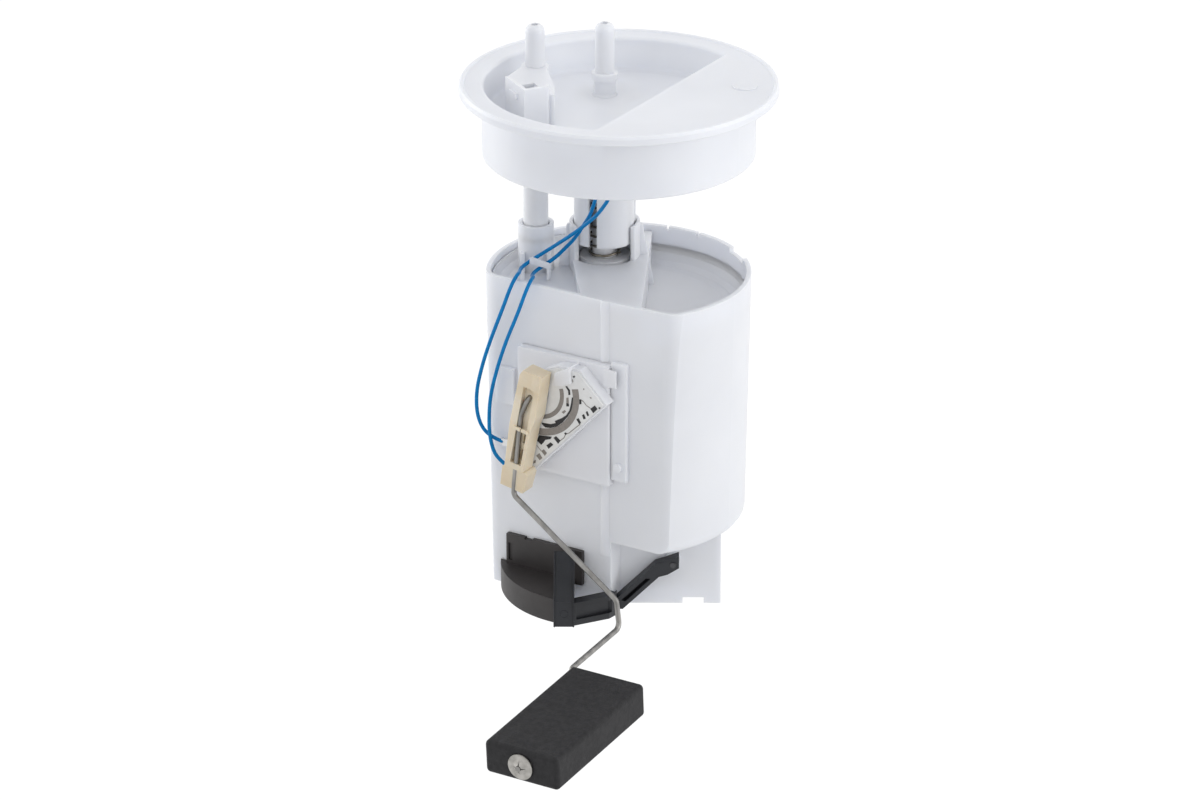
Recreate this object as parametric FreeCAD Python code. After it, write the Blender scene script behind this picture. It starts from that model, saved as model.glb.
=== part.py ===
"""Fuel tank sending unit: a tank flange, a swirl pot that slides on two guides under it,
the pump inside the pot, and the float arm and resistor card on the pot's flat side.

Millimetres, +Z up. The origin is the middle of the flange rim's underside, which is the
face that seats on the tank. The flat side with the float arm faces -Y.
"""
import FreeCAD
import Part
import math
import os

V = FreeCAD.Vector
UP = V(0, 0, 1)

# Main sizes
RIM_R = 65.5
COLLAR_R = 56.2
POT_R = 55.0

# Flange
RIM_T = 4.0
RIM_EDGE = 1.2
COLLAR_H = 26.5
COLLAR_WALL = 1.9
RECESS_R = 54.6
RECESS_FLOOR_Z = -10.7
RECESS_FILLET = 3.0
RECESS_DRAFT = 0.6
RECESS_EDGE = 1.5
FLOOR_T = 2.2
DECK_X = 20.8
DECK_T = 2.2
DECK_DROP = 0.5
BUMP_XY = (46.3, 22.4)
BUMP_R = 5.2
BUMP_H = 0.4
FLANGE_RIB_T = 1.6
FLANGE_RIB_H = 9.0
FLANGE_RIB_TURNS = (100, 150, 205, 262)

# Pipe stubs on the flange, each above its guide
GUIDE_XY = (-17.8, 18.6)
ROD_INSET = 13.5
ROD_XY = (ROD_INSET - POT_R, 2.3)
STUB_R = 4.05
STUB_NECK_R = 4.5
STUB_BORE_R = 2.4
STUB_MOUTH_R = 1.5
STUB_MOUTH_H = 6.0
STUB_TOP_Z = 20.6
STUB_NOSE = 3.0
STUB_FOOT = 1.2
STUB_COLLAR_R = 5.4
STUB_COLLAR_Z = -2.4
STUB_COLLAR_H = 3.6

# Connector socket in the flange recess
PLUG_CORNER = (-23.3, -35.8)
PLUG_TURN = 56.2
PLUG_W = 13.5
PLUG_L = 18.5
PLUG_WALL = 1.5
PLUG_TOP_Z = 7.0
PLUG_CHAMFER = 3.0
LATCH_W = 6.0
LATCH_T = 1.2
LATCH_Z = (1.0, 3.5)
SADDLE_TOP_Z = 2.7
SADDLE_OUTLINE = ((4.2, 27.5), (18.0, 39.0), (25.0, 33.5), (17.7, 9.0))
SADDLE_BOSS_R = 5.6
PIN_COUNT = 4
PIN_W = 1.2
PIN_T = 0.8
PIN_UP = 8.0
PIN_DOWN = 3.5

# Guide tube with the spring, and the plain guide rod
TUBE_R = 12.9
TUBE_WALL = 1.8
TUBE_END_Z = -74.6
TUBE_SLOT_W = 3.8
TUBE_SLOT_TURN = -23.0
TUBE_SKIN = 1.5
TUBE_STEP_X = 9.2
TUBE_HEAD_H = 12.0
TUBE_BOSS_T = 1.8
TUBE_BOSS_H = 5.0
ROD_BOSS_T = 2.0
ROD_BOSS_H = 6.0
RETURN_PIPE_R = 5.2
RETURN_PIPE_WALL = 1.4
RETURN_PIPE_END_Z = -88.0
SPRING_R = 6.2
SPRING_WIRE = 1.2
SPRING_SEAT_Z = -81.6
ROD_R = 5.2
ROD_WALL = 1.4
ROD_END_Z = -88.0
RING_R = 6.6
RING_H = 2.0
RING_LIP = 0.4
GUIDE_GAP = 0.4
STOP_GAP = 0.3

# Swirl pot
POT_TOP_Z = -78.9
POT_DRAFT = 0.0155
POT_WALL = 2.0
POT_FRONT_Y = -32.2
POT_STEP_Z = -186.7
POT_EDGE = 4.0
POT_CORNER_R = 9.0
POT_BASE_Z = -217.7
POT_FLOOR_T = 2.2
POT_FLOOR_Z = -209.0
SEAM_X = 12.5
SEAM_R = 3.0
SEAM_OUT = 0.9
SKIRT_R = 41.5
SKIRT_FLAT = 29.0
SKIRT_POST_X = (20.0, 43.0)
SKIRT_POST_D = 8.0
ARCH_W = 8.8
ARCH_H = 2.6
NOTCH_W = 1.4
NOTCH_D = 1.6
NOTCH_TURNS = (97.9, 81.9)
WINDOW_TURN = 52.0
WINDOW_W = 14.0
WINDOW_D = 2.2

# Pot lid
LID_TOP_Z = -81.6
LID_TRAY_Z = -95.0
LEFT_TRAY_Z = -87.0
TRAY_FILLET = 8.0
LID_T = 1.8
LID_GAP = 0.2
LID_LEDGE = 2.5
WELL_WALL = 1.5
WELL_FLOOR_Z = -112.0
TUBE_WELL_Z = -98.5
WELL_HOLE_R = 2.5
SOCKET_TOP_Z = -66.6
SOCKET_WALL = 1.9
SOCKET_STEP_Z = -85.7
JAW_TURN = 32.0
RIB_T = 1.8
RIB_OUT = 6.0
RIB_DROP = 1.5
RIB_NECK = 1.0
BRACKET_RIB_X = 5.5
BRACKET_RIB_OUT = 9.0
BRACKET_RIB_UP = 6.0
BRACKET_RIB_IN = 3.0
LEFT_EDGE = ((-28.1, 9.1), (-4.1, -24.3))
RIGHT_EDGE = ((1.8, 20.9), (26.6, -27.0))

# Direction of the clip, the skirt's flat and the feet
CLIP_TURN = 30.5

# Level sender on the flat side
PIVOT_X = -13.2
PIVOT_Z = -120.8
BRACKET_T = 3.8
BRACKET_X = (-27.0, 16.5)
BRACKET_Z = (-159.5, -106.0)
CARD_SEAT_T = 5.5
CARD_T = 1.0
CARD_SEAT_RIM = 0.8
CARD_RIGHT = (17.9, -120.5)
CARD_FOOT = (-15.6, -156.1)
CARD_LEFT_X = -20.0
CARD_TOP_Z = -108.5
CARD_CUTS = (10.0, 17.0, 3.5, 10.5)
CARD_HOLE_R = 5.0
BEARING_R = 4.4
BEARING_FRONT_Y = -43.0
HINGE_GAP = 0.07
RAIL_X = (16.8, 24.0)
RAIL_Z = (-157.0, -104.5)
RAIL_T = 2.2

# Float arm
WIRE_R = 1.15
WIRE_Y = -50.0
WIRE_BEND = 3.2
WIRE_BACK_Y = -38.9
WIRE_KNEES = ((-17.2, -129.5), (-20.9, -166.5), (28.6, -202.8))
WIRE_FOOT_X = 30.2
WIRE_GAP = 1.4
CARRIER_TILT = 11.0
CARRIER_W = 10.8
CARRIER_UP = 11.5
CARRIER_DOWN = 34.0
CARRIER_BACK_Y = -43.6
CARRIER_FRONT_Y = -51.4
CARRIER_CHANNEL_W = 5.2
CARRIER_CHANNEL_TOP = 4.5
CARRIER_WAIST = ((5.4, -8.0), (4.2, -14.0), (4.0, -34.0))
CARRIER_HORN = ((1.2, 5.5), (5.4, 4.0), (5.4, 10.4), (4.6, 12.6), (2.0, 12.6))
CARRIER_HORN_Y = -52.8
CARRIER_SLOTS = (-19.5, -27.5)
CARRIER_SLOT_X = (0.4, 1.9)
CARRIER_SLOT_H = 5.2
CARRIER_TAB_Z = (-15.6, -14.2)
CARRIER_TAB_T = 0.9
CLIP_BLOCK_W = 12.2
CLIP_BLOCK_H = 9.5
CLIP_BLOCK_STEP = 0.6

# Float
FLOAT_CENTRE = (52.7, -130.3, -220.5)
FLOAT_W = 34.0
FLOAT_L = 68.4
FLOAT_H = 14.6
FLOAT_EDGE = 2.0
FLOAT_TILT = 3.9
FLOAT_BORE_GAP = 0.08
NUT_R = 5.8
NUT_T = 0.6
NUT_CROWN_H = 0.9
NUT_CROWN_W = 2.2
NUT_GAP = 0.3
WIRE_TAIL = 1.6

# Fuel pump in the pot
PUMP_XY = (16.0, 5.0)
PUMP_R = 18.5
PUMP_TOP_Z = -120.0
PUMP_H = 62.0
PUMP_CAP_H = 6.0
PUMP_STEP = 2.0
PUMP_EDGE = 1.5
PUMP_INLET_R = 6.0
PUMP_INLET_H = 5.0
SLEEVE_T = 2.0
SLEEVE_H = 40.0
SLEEVE_FIN_T = 2.0
SLEEVE_FIN_OUT = 1.5
SLEEVE_FIN_TURNS = (0, 60, 120, 180, 240, 300)
STRAINER_R = 17.0
STRAINER_T = 5.0
OUTLET_R = 3.0
OUTLET_WALL = 0.9
OUTLET_RISE_Z = -104.5
OUTLET_NOZZLE_H = 3.0
OUTLET_DROP = 6.0
OUTLET_CORNER = (-8.0, -6.0)
SEAL_R = 0.7
SEAL_SQUEEZE = 0.3
SEAL_DROP = 6.0

# Foot strainer, its clip and the pin that holds the clip
FOOT_CENTRE = (-0.2, -11.5)
FOOT_R = 43.5
FOOT_TOP_Z = -207.0
PLATE_T = 2.0
PLATE_X = (-34.5, 2.5)
PLATE_TOP_Z = -193.5
STRAP_SPAN = (-26.8, -18.1)
ARM_BACK = 31.0
ARM_T = 5.0
CLIP_PIN_R = 1.3

# Sender leads
LEAD_R = 0.8
LEAD_CLIP_Z = -84.0
CLIP_REACH = 8.1
CLIP_T = 1.0
CLIP_OUTLINE = ((-2.4, -79.2), (-2.4, -76.8), (-1.2, -76.6), (5.8, -79.3), (5.8, -87.0), (4.6, -87.0),
                (4.6, -81.4))

# Small details of the pot, its rails, valve and foot
ARCH_MIDDLE = 31.5
LEDGE_H = 2.0
LEDGE_W = 10.0
LEDGE_TURNS = (20.0, 75.0, 130.0, 185.0)
RAIL_MIDDLE = 20.4
RAIL_KNOB_R = 1.8
RAIL_KNOB_Z = -150.8
TONGUE_Z = (-114.5, -107.0)
TONGUE_LAP = 2.0
HOOK_T = 0.8
VALVE_XY = (-22.0, 6.0)
VALVE_R = 8.0
VALVE_PORT_R = 3.0
VALVE_H = 2.4
OVERFLOW_XY = (38.0, -10.0)
OVERFLOW_R = 4.0
CARD_CLIP_OUTLINE = ((-5.6, -116.0), (-4.6, -110.5), (2.6, -106.6), (3.2, -113.4), (-1.0, -115.2))
CARD_CLIP_T = 1.6
TERMINAL_T = 1.0
TERMINAL_H = 3.0
TERMINAL_ONE = (-35.5, -151.0)
TERMINAL_TWO = (-32.5, -162.0)
LEFT_RAIL_X = (-38.9, -30.4)
LEFT_RAIL_Z = (-134.0, -118.0)
LUG_R = 3.2
PIN_PLACE = (22.9, -197.0)
CONTACT_ARMS = ((11.1, 1.6), (18.1, -1.8))
CONTACT_W = 2.0
CONTACT_T = 0.4
PLATE_NOTCH_X = (-25.5, -22.0)
SKIRT_PIN_L = 8.0
PIN_HEAD = 0.4
PLATE_SLOT = (-33.5, -31.5, -205.5, -197.5)
PLATE_SLOT_D = 0.8
PLATE_NOTCH_D = 0.8
STRAP_OUTLINE = ((-52.3, -217.7), (-52.3, -206.4), (-30.3, -193.3), (-29.2, -194.9), (-50.5, -208.2),
                 (-50.5, -217.7))
STRAP_LAP = 1.5
CHANNEL_OUTLINE = ((-19.6, -51.9), (-3.6, -44.4), (-0.6, -40.5), (-3.0, -38.4), (-19.6, -46.6))
CHANNEL_TOP_Z = -207.4
CHANNEL_GROOVE = ((-17.3, -60.0), (0.0, -60.0), (0.0, -43.5), (-4.2, -42.4), (-17.3, -49.4))
CHANNEL_LIPS = (2.6, 2.0)
ELBOW_OUTLINE = ((-4.0, -41.5), (-0.6, -40.5), (-0.6, -31.0), (-4.0, -31.0))
ELBOW_TOP_Z = -210.6
ARM_OUTLINE = ((-1.2, -213.0), (12.2, -199.9), (15.5, -196.6), (19.6, -195.3), (25.4, -193.1), (25.4, -198.4),
               (20.6, -201.4), (17.0, -202.4), (2.0, -217.2), (-1.2, -217.2))
ARM_POCKET = ((1.2, -213.2), (11.4, -203.2), (13.6, -203.2), (3.0, -213.8))
ARM_WEB_T = 1.6

# Routes of the leads, by their corners, from the socket's pins to the sender's terminals
LEAD_ROUTES = {
    "lead_one_upper": [(-22.4, -28.3, -16.4), (-22.4, -28.3, -24.5), (-11.1, -20.5, -32.0),
                       (-4.9, -7.5, -40.0), (-10.75, -4.0, -54.5), (-14.5, -2.75, -60.0),
                       (-19.6, -2.6, -68.0), (-24.6, -2.9, -73.7), (-28.4, -4.05, -78.0),
                       (-30.4, -5.55, -79.65)],
    "lead_two_upper": [(-25.6, -26.1, -16.4), (-25.6, -26.1, -23.4), (-5.0, -19.2, -31.5),
                       (2.3, -7.9, -41.0), (-5.4, -6.65, -52.6), (-11.2, -6.0, -58.2),
                       (-18.9, -5.6, -65.0), (-27.2, -5.4, -71.6), (-31.1, -5.9, -74.6),
                       (-33.8, -7.7, -76.7)],
    "lead_one_lower": [(-30.4, -5.55, -79.65), (-33.2, -7.65, -81.96), (-33.9, -12.5, -83.0),
                       (-30.8, -18.5, -81.8), (-26.0, -25.0, -78.8), (-22.5, -31.5, -76.0),
                       (-21.6, -37.5, -78.6), (-25.2, -38.8, -90.0), (-31.0, -38.8, -103.5),
                       (-35.6, -38.8, -117.0), (-39.2, -38.8, -131.0), (-39.9, -38.6, -144.0),
                       (-39.0, -38.4, -152.0), (-37.0, -37.0, -158.6), (-32.0, -35.5, -162.2)],
    "lead_two_lower": [(-33.8, -7.7, -76.7), (-36.5, -9.5, -78.8), (-38.2, -14.5, -80.4),
                       (-35.9, -20.0, -80.0), (-32.4, -26.0, -77.9), (-29.5, -31.8, -75.8),
                       (-29.2, -37.5, -78.8), (-32.6, -38.8, -89.5), (-38.2, -38.8, -103.5),
                       (-42.7, -38.8, -116.5), (-46.0, -38.8, -130.0), (-45.6, -38.4, -142.0),
                       (-41.5, -36.4, -149.8), (-34.9, -35.5, -151.0)],
}

# Pieces of one body that only pass near each other keep this gap
NEAR_GAP = 0.3


def box(x0, x1, y0, y1, z0, z1):
    """A box between two corners."""
    return Part.makeBox(x1 - x0, y1 - y0, z1 - z0, V(x0, y0, z0))


def cylinder(xy, radius, z0, z1):
    """An upright cylinder between two heights."""
    return Part.makeCylinder(radius, z1 - z0, V(xy[0], xy[1], z0), UP)


def tube(xy, radius, wall, z0, z1):
    """An upright tube between two heights."""
    return cylinder(xy, radius, z0, z1).cut(cylinder(xy, radius - wall, z0, z1))


def prism(points, z0, z1):
    """An upright prism over a closed outline of x, y points."""
    corners = [V(x, y, z0) for x, y in points]
    face = Part.Face(Part.makePolygon(corners + corners[:1]))
    return face.extrude(V(0, 0, z1 - z0))


def side_prism(points, y0, y1):
    """A prism along Y over a closed outline of x, z points."""
    corners = [V(x, y0, z) for x, z in points]
    face = Part.Face(Part.makePolygon(corners + corners[:1]))
    return face.extrude(V(0, y1 - y0, 0))


def lathe(profile, xy=(0.0, 0.0)):
    """A solid turned about an upright axis from r, z points."""
    corners = [V(xy[0] + r, xy[1], z) for r, z in profile]
    face = Part.Face(Part.makePolygon(corners + corners[:1]))
    return face.revolve(V(xy[0], xy[1], 0), UP, 360)


def arc_points(middle, radius, first, last, steps=4):
    """Points along an arc in a profile, between two angles in degrees."""
    turns = [math.radians(first + (last - first) * i / steps) for i in range(steps + 1)]
    return [(middle[0] + radius * math.cos(a), middle[1] + radius * math.sin(a)) for a in turns]


def wall_prism(points, x0, x1):
    """A prism along X over a closed outline of y, z points."""
    corners = [V(x0, y, z) for y, z in points]
    face = Part.Face(Part.makePolygon(corners + corners[:1]))
    return face.extrude(V(x1 - x0, 0, 0))


def turned(shape, degrees, centre=(0.0, 0.0)):
    """A copy turned about an upright axis."""
    copy = shape.copy()
    copy.rotate(V(centre[0], centre[1], 0), UP, degrees)
    return copy


def bent_tube(points, bend, radius):
    """A round bar along straight runs whose corners are rounded by one bend radius."""
    path = [V(*p) for p in points]
    edges = []
    start = path[0]
    for before, corner, after in zip(path, path[1:], path[2:]):
        into = (corner - before).normalize()
        out = (after - corner).normalize()
        half = into.getAngle(out) / 2.0
        setback = bend * math.tan(half)
        first = corner - into * setback
        last = corner + out * setback
        inward = (out - into).normalize()
        middle = corner + inward * (bend / math.cos(half) - bend)
        edges.append(Part.makeLine(start, first))
        edges.append(Part.Arc(first, middle, last).toShape())
        start = last
    edges.append(Part.makeLine(start, path[-1]))
    spine = Part.Wire(edges)
    heading = (path[1] - path[0]).normalize()
    ring = Part.Wire([Part.makeCircle(radius, path[0], heading)])
    return spine.makePipeShell([ring], True, False)


def lead_tube(name, points):
    """A lead's tube: every corner's arc is as large as its two runs allow."""
    path = [V(*p) for p in points]
    edges = []
    start = path[0]
    smallest = None
    for before, corner, after in zip(path, path[1:], path[2:]):
        into = corner - before
        out = after - corner
        setback = 0.45 * min(into.Length, out.Length)
        into.normalize()
        out.normalize()
        half = into.getAngle(out) / 2.0
        bend = setback / math.tan(half)
        smallest = bend if smallest is None else min(smallest, bend)
        first = corner - into * setback
        last = corner + out * setback
        inward = (out - into).normalize()
        middle = corner + inward * (bend / math.cos(half) - bend)
        edges.append(Part.makeLine(start, first))
        edges.append(Part.Arc(first, middle, last).toShape())
        start = last
    edges.append(Part.makeLine(start, path[-1]))
    spine = Part.Wire(edges)
    heading = (path[1] - path[0]).normalize()
    ring = Part.Wire([Part.makeCircle(LEAD_R, path[0], heading)])
    solid = spine.makePipeShell([ring], True, False)
    expected = math.pi * LEAD_R ** 2 * spine.Length
    print(name, "length", round(spine.Length, 1), "tightest bend", round(smallest, 1),
          "volume ratio", round(solid.Volume / expected, 4))
    return solid


def pot_radius(z):
    """Outer radius of the pot's round wall, which narrows downwards."""
    return POT_R - POT_DRAFT * (POT_TOP_Z - z)


def d_prism(inset, z0, z1):
    """An upright prism with the pot's D plan and rounded corners, drawn in from the outside."""
    radius = POT_R - inset
    front = POT_FRONT_Y + inset
    round_r = POT_CORNER_R - inset
    y = front + round_r
    x = math.sqrt((radius - round_r) ** 2 - y ** 2)
    lean = math.atan2(y, x)
    tip = (radius * math.cos(lean), radius * math.sin(lean))
    between = (-math.pi / 2 + lean) / 2
    knee = (x + round_r * math.cos(between), y + round_r * math.sin(between))
    right = Part.Arc(V(x, front, z0), V(knee[0], knee[1], z0), V(tip[0], tip[1], z0))
    back = Part.Arc(V(tip[0], tip[1], z0), V(0, radius, z0), V(-tip[0], tip[1], z0))
    left = Part.Arc(V(-tip[0], tip[1], z0), V(-knee[0], knee[1], z0), V(-x, front, z0))
    chord = Part.makeLine(V(-x, front, z0), V(x, front, z0))
    outline = Part.Wire([right.toShape(), back.toShape(), left.toShape(), chord])
    return Part.Face(outline).extrude(V(0, 0, z1 - z0))


def front_cut(y):
    """Everything in front of an upright plane facing -Y."""
    reach = 2 * RIM_R
    return box(-reach, reach, -reach, y, POT_BASE_Z - reach, reach)


def clip_frame(shape):
    """Turns a piece from the clip's own axes (x across, -y outwards) into the part's."""
    return turned(shape, CLIP_TURN)


def plug_frame(shape):
    """Places a piece from the connector socket's own axes at its place in the recess."""
    moved = shape.copy()
    moved.rotate(V(0, 0, 0), UP, PLUG_TURN)
    moved.translate(V(PLUG_CORNER[0], PLUG_CORNER[1], 0))
    return moved


def flange_plate():
    """Rim, collar and sunken floor in one turning."""
    under_floor = RECESS_FLOOR_Z - FLOOR_T
    top = RIM_T - DECK_DROP
    low_arc = arc_points((RECESS_R - RECESS_FILLET, RECESS_FLOOR_Z + RECESS_FILLET), RECESS_FILLET, -90, 0)
    edge_r = RECESS_R + RECESS_DRAFT + RECESS_EDGE
    high_arc = arc_points((edge_r, top - RECESS_EDGE), RECESS_EDGE, 180, 90)
    profile = [(0, RECESS_FLOOR_Z)] + low_arc + high_arc + [
        (RIM_R - 2 * RIM_EDGE, top), (RIM_R - 1.5 * RIM_EDGE, RIM_T),
        (RIM_R - 0.5 * RIM_EDGE, RIM_T), (RIM_R, RIM_T - RIM_EDGE), (RIM_R, 0.4),
        (RIM_R - 0.4, 0), (COLLAR_R, 0), (COLLAR_R, -COLLAR_H + 0.5),
        (COLLAR_R - 0.5, -COLLAR_H), (COLLAR_R - COLLAR_WALL, -COLLAR_H),
        (COLLAR_R - COLLAR_WALL, under_floor), (0, under_floor)]
    return lathe(profile)


def flange_deck():
    """The raised part of the lid over the pocket, with the wall along its straight edge."""
    top = RIM_T - DECK_DROP
    bottom = RECESS_FLOOR_Z - FLOOR_T
    segment = cylinder((0, 0), COLLAR_R - COLLAR_WALL / 2, RECESS_FLOOR_Z, top)
    segment = segment.fuse(cylinder((0, 0), RECESS_R + RECESS_DRAFT + RECESS_EDGE, 0, top))
    segment = segment.common(box(DECK_X, RIM_R, -RIM_R, RIM_R, RECESS_FLOOR_Z, top))
    hollow = cylinder((0, 0), COLLAR_R - COLLAR_WALL, bottom, top - DECK_T)
    hollow = hollow.common(box(DECK_X + FLOOR_T, RIM_R, -RIM_R, RIM_R, bottom, top - DECK_T))
    bump = cylinder(BUMP_XY, BUMP_R, top - BUMP_H, top + BUMP_H)
    return segment.cut(hollow).fuse(bump), hollow


def pipe_stub(xy, with_collar):
    """A pipe stub for a push-on coupling: rounded nose, plain neck and foot, or a thicker neck under a collar."""
    floor = RECESS_FLOOR_Z
    foot = STUB_R + STUB_FOOT
    root = floor - FLOOR_T / 2
    neck = STUB_NECK_R if with_collar else STUB_R
    profile = [(0, root), (foot, root), (foot, floor), (neck, floor + STUB_FOOT)]
    if with_collar:
        low = STUB_COLLAR_Z - STUB_COLLAR_H / 2
        high = STUB_COLLAR_Z + STUB_COLLAR_H / 2
        profile += [(neck, low), (STUB_COLLAR_R, low + 0.4), (STUB_COLLAR_R, high - 0.4), (STUB_R, high)]
    profile += arc_points((STUB_R - STUB_NOSE, STUB_TOP_Z - STUB_NOSE), STUB_NOSE, 0, 90)
    return lathe(profile + [(0, STUB_TOP_Z)], xy)


def connector_shroud():
    """The open box round the pins, low at the back where a saddle joins it to the stub behind."""
    floor = RECESS_FLOOR_Z - 0.5
    outline = [(0, 0), (PLUG_W - PLUG_CHAMFER, 0), (PLUG_W, PLUG_CHAMFER), (PLUG_W, PLUG_L), (0, PLUG_L)]
    w = PLUG_WALL
    c = PLUG_CHAMFER - 0.6 * w
    inner = [(w, w), (PLUG_W - w - c, w), (PLUG_W - w, w + c), (PLUG_W - w, PLUG_L - w), (w, PLUG_L - w)]
    walls = prism(outline, floor, PLUG_TOP_Z)
    hollow = prism(inner, RECESS_FLOOR_Z + 1.0, PLUG_TOP_Z)
    latch = box(-LATCH_T, 0, PLUG_L / 2 - LATCH_W / 2, PLUG_L / 2 + LATCH_W / 2, LATCH_Z[0], LATCH_Z[1])
    behind = prism([(0, PLUG_L), (PLUG_W, 0), (2 * PLUG_W, 0), (2 * PLUG_W, 2 * PLUG_L), (0, 2 * PLUG_L)],
                   SADDLE_TOP_Z, PLUG_TOP_Z + 1)
    saddle = prism([(PLUG_W, 0), (0, PLUG_L)] + list(SADDLE_OUTLINE), floor, SADDLE_TOP_Z)
    boss = cylinder(ROD_XY, SADDLE_BOSS_R, floor, SADDLE_TOP_Z)
    block = plug_frame(walls.fuse(latch).cut(behind).fuse(saddle)).fuse(boss)
    return block, plug_frame(hollow)


def pin_places():
    """Centres of the connector's pins in the socket's own axes."""
    pitch = (PLUG_L - 2 * PLUG_WALL) / PIN_COUNT
    first = PLUG_WALL + pitch / 2
    return [(PLUG_W / 2, first + i * pitch) for i in range(PIN_COUNT)]


def connector_pins():
    """Four flat blades through the floor of the socket."""
    blades = []
    for x, y in pin_places():
        low = RECESS_FLOOR_Z - FLOOR_T - PIN_DOWN
        high = RECESS_FLOOR_Z + PIN_UP
        blade = box(x - PIN_W / 2, x + PIN_W / 2, y - PIN_T / 2, y + PIN_T / 2, low, high)
        blades.append(plug_frame(blade))
    return Part.makeCompound(blades)


def flange_ribs():
    """Stiffening ribs under the floor, from the middle to the collar."""
    inside = COLLAR_R - COLLAR_WALL
    top = RECESS_FLOOR_Z - FLOOR_T + 0.2
    ribs = None
    for turn in FLANGE_RIB_TURNS:
        rib = box(0, inside + COLLAR_WALL / 2, -FLANGE_RIB_T / 2, FLANGE_RIB_T / 2, top - FLANGE_RIB_H, top)
        rib = turned(rib, turn)
        ribs = rib if ribs is None else ribs.fuse(rib)
    return ribs


def flange_cover():
    """The whole moulded flange, bored for the stubs, guides and pins."""
    deck, hollow = flange_deck()
    body = flange_plate().cut(hollow).fuse(deck)
    keep_out = cylinder(GUIDE_XY, TUBE_R, -COLLAR_H, RECESS_FLOOR_Z - FLOOR_T)
    keep_rod = cylinder(ROD_XY, ROD_R, -COLLAR_H, RECESS_FLOOR_Z - FLOOR_T)
    body = body.fuse(flange_ribs().cut(keep_out).cut(keep_rod).cut(hollow))
    shroud, socket = connector_shroud()
    body = body.fuse(shroud)
    body = body.fuse(pipe_stub(GUIDE_XY, True)).fuse(pipe_stub(ROD_XY, False))
    under = RECESS_FLOOR_Z - FLOOR_T
    root = under + FLOOR_T / 2
    body = body.fuse(tube(ROD_XY, ROD_R + ROD_BOSS_T, ROD_BOSS_T, under - ROD_BOSS_H, root))
    body = body.fuse(tube(GUIDE_XY, TUBE_R + TUBE_BOSS_T, TUBE_BOSS_T, under - TUBE_BOSS_H, root))
    body = body.cut(socket)
    for xy in (GUIDE_XY, ROD_XY):
        body = body.cut(cylinder(xy, STUB_BORE_R, under - 1.0, STUB_TOP_Z - STUB_MOUTH_H))
        body = body.cut(cylinder(xy, STUB_MOUTH_R, under - 1.0, STUB_TOP_Z + 1.0))
    for blade in connector_pins().Solids:
        body = body.cut(blade)
    return body.removeSplitter()


def guide_tube():
    """The large guide tube: its front half is shorter, and a slot shows the spring."""
    top = RECESS_FLOOR_Z - FLOOR_T
    shell = tube(GUIDE_XY, TUBE_R, TUBE_WALL, TUBE_END_Z, top)
    slot = box(-TUBE_SLOT_W / 2, TUBE_SLOT_W / 2, -TUBE_R - 1, 0, TUBE_END_Z - 1, top - TUBE_HEAD_H)
    slot.translate(V(GUIDE_XY[0], GUIDE_XY[1], 0))
    shell = shell.cut(turned(slot, CLIP_TURN + TUBE_SLOT_TURN, GUIDE_XY))
    step = box(TUBE_STEP_X, TUBE_R + 1, -TUBE_R, 0, TUBE_END_Z - 1, top - TUBE_HEAD_H)
    step = step.common(tube((0, 0), TUBE_R + 1, TUBE_SKIN, TUBE_END_Z - 1, top - TUBE_HEAD_H))
    step.translate(V(GUIDE_XY[0], GUIDE_XY[1], 0))
    return shell.cut(turned(step, CLIP_TURN, GUIDE_XY))


def return_pipe():
    """The return pipe that the spring sits round."""
    top = RECESS_FLOOR_Z - FLOOR_T
    return tube(GUIDE_XY, RETURN_PIPE_R, RETURN_PIPE_WALL, RETURN_PIPE_END_Z, top)


def guide_spring():
    """The spring's outer sleeve, from the flange floor to its seat on the lid."""
    outer = SPRING_R + SPRING_WIRE / 2
    return tube(GUIDE_XY, outer, SPRING_WIRE, SPRING_SEAT_Z, RECESS_FLOOR_Z - FLOOR_T)


def guide_rod():
    """The plain guide rod, a pipe that carries the fuel up to its stub."""
    lip = tube(ROD_XY, ROD_R, 1.6 * ROD_WALL, ROD_END_Z - ROD_WALL, ROD_END_Z)
    return tube(ROD_XY, ROD_R, ROD_WALL, ROD_END_Z, RECESS_FLOOR_Z - FLOOR_T).fuse(lip).removeSplitter()


def guide_ring():
    """The snap ring that keeps the pot from sliding off the rod."""
    ring_top = SOCKET_STEP_Z - STOP_GAP
    return tube(ROD_XY, RING_R, RING_R - ROD_R, ring_top - RING_H, ring_top)


def lower_block(shrink):
    """The pot's lower part: the left side goes down full width, the right side is the skirt."""
    top = POT_STEP_Z
    high = POT_STEP_Z + 2 * POT_EDGE
    low = POT_BASE_Z
    wide = lathe([(0, low), (pot_radius(low) - shrink, low), (pot_radius(high) - shrink, high), (0, high)])
    wide = wide.cut(front_cut(POT_FRONT_Y + shrink))
    reach = 2 * RIM_R
    wide = wide.cut(box(SEAM_X + SEAM_R - shrink, reach, -reach, reach, low - 1, high + 1))
    wide = wide.common(d_prism(shrink, low - 1, high + 1))
    skirt = cylinder((0, 0), SKIRT_R - shrink, low, top)
    flat = box(-reach, reach, -reach, -(SKIRT_FLAT - shrink), low - 1, top + 1)
    post = box(SKIRT_POST_X[0], SKIRT_POST_X[1] - shrink, -SKIRT_FLAT + shrink,
               SKIRT_POST_D - SKIRT_FLAT - shrink, low, top)
    skirt = skirt.cut(clip_frame(flat)).fuse(clip_frame(post)).cut(front_cut(POT_FRONT_Y + shrink))
    return wide.fuse(skirt)


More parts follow.
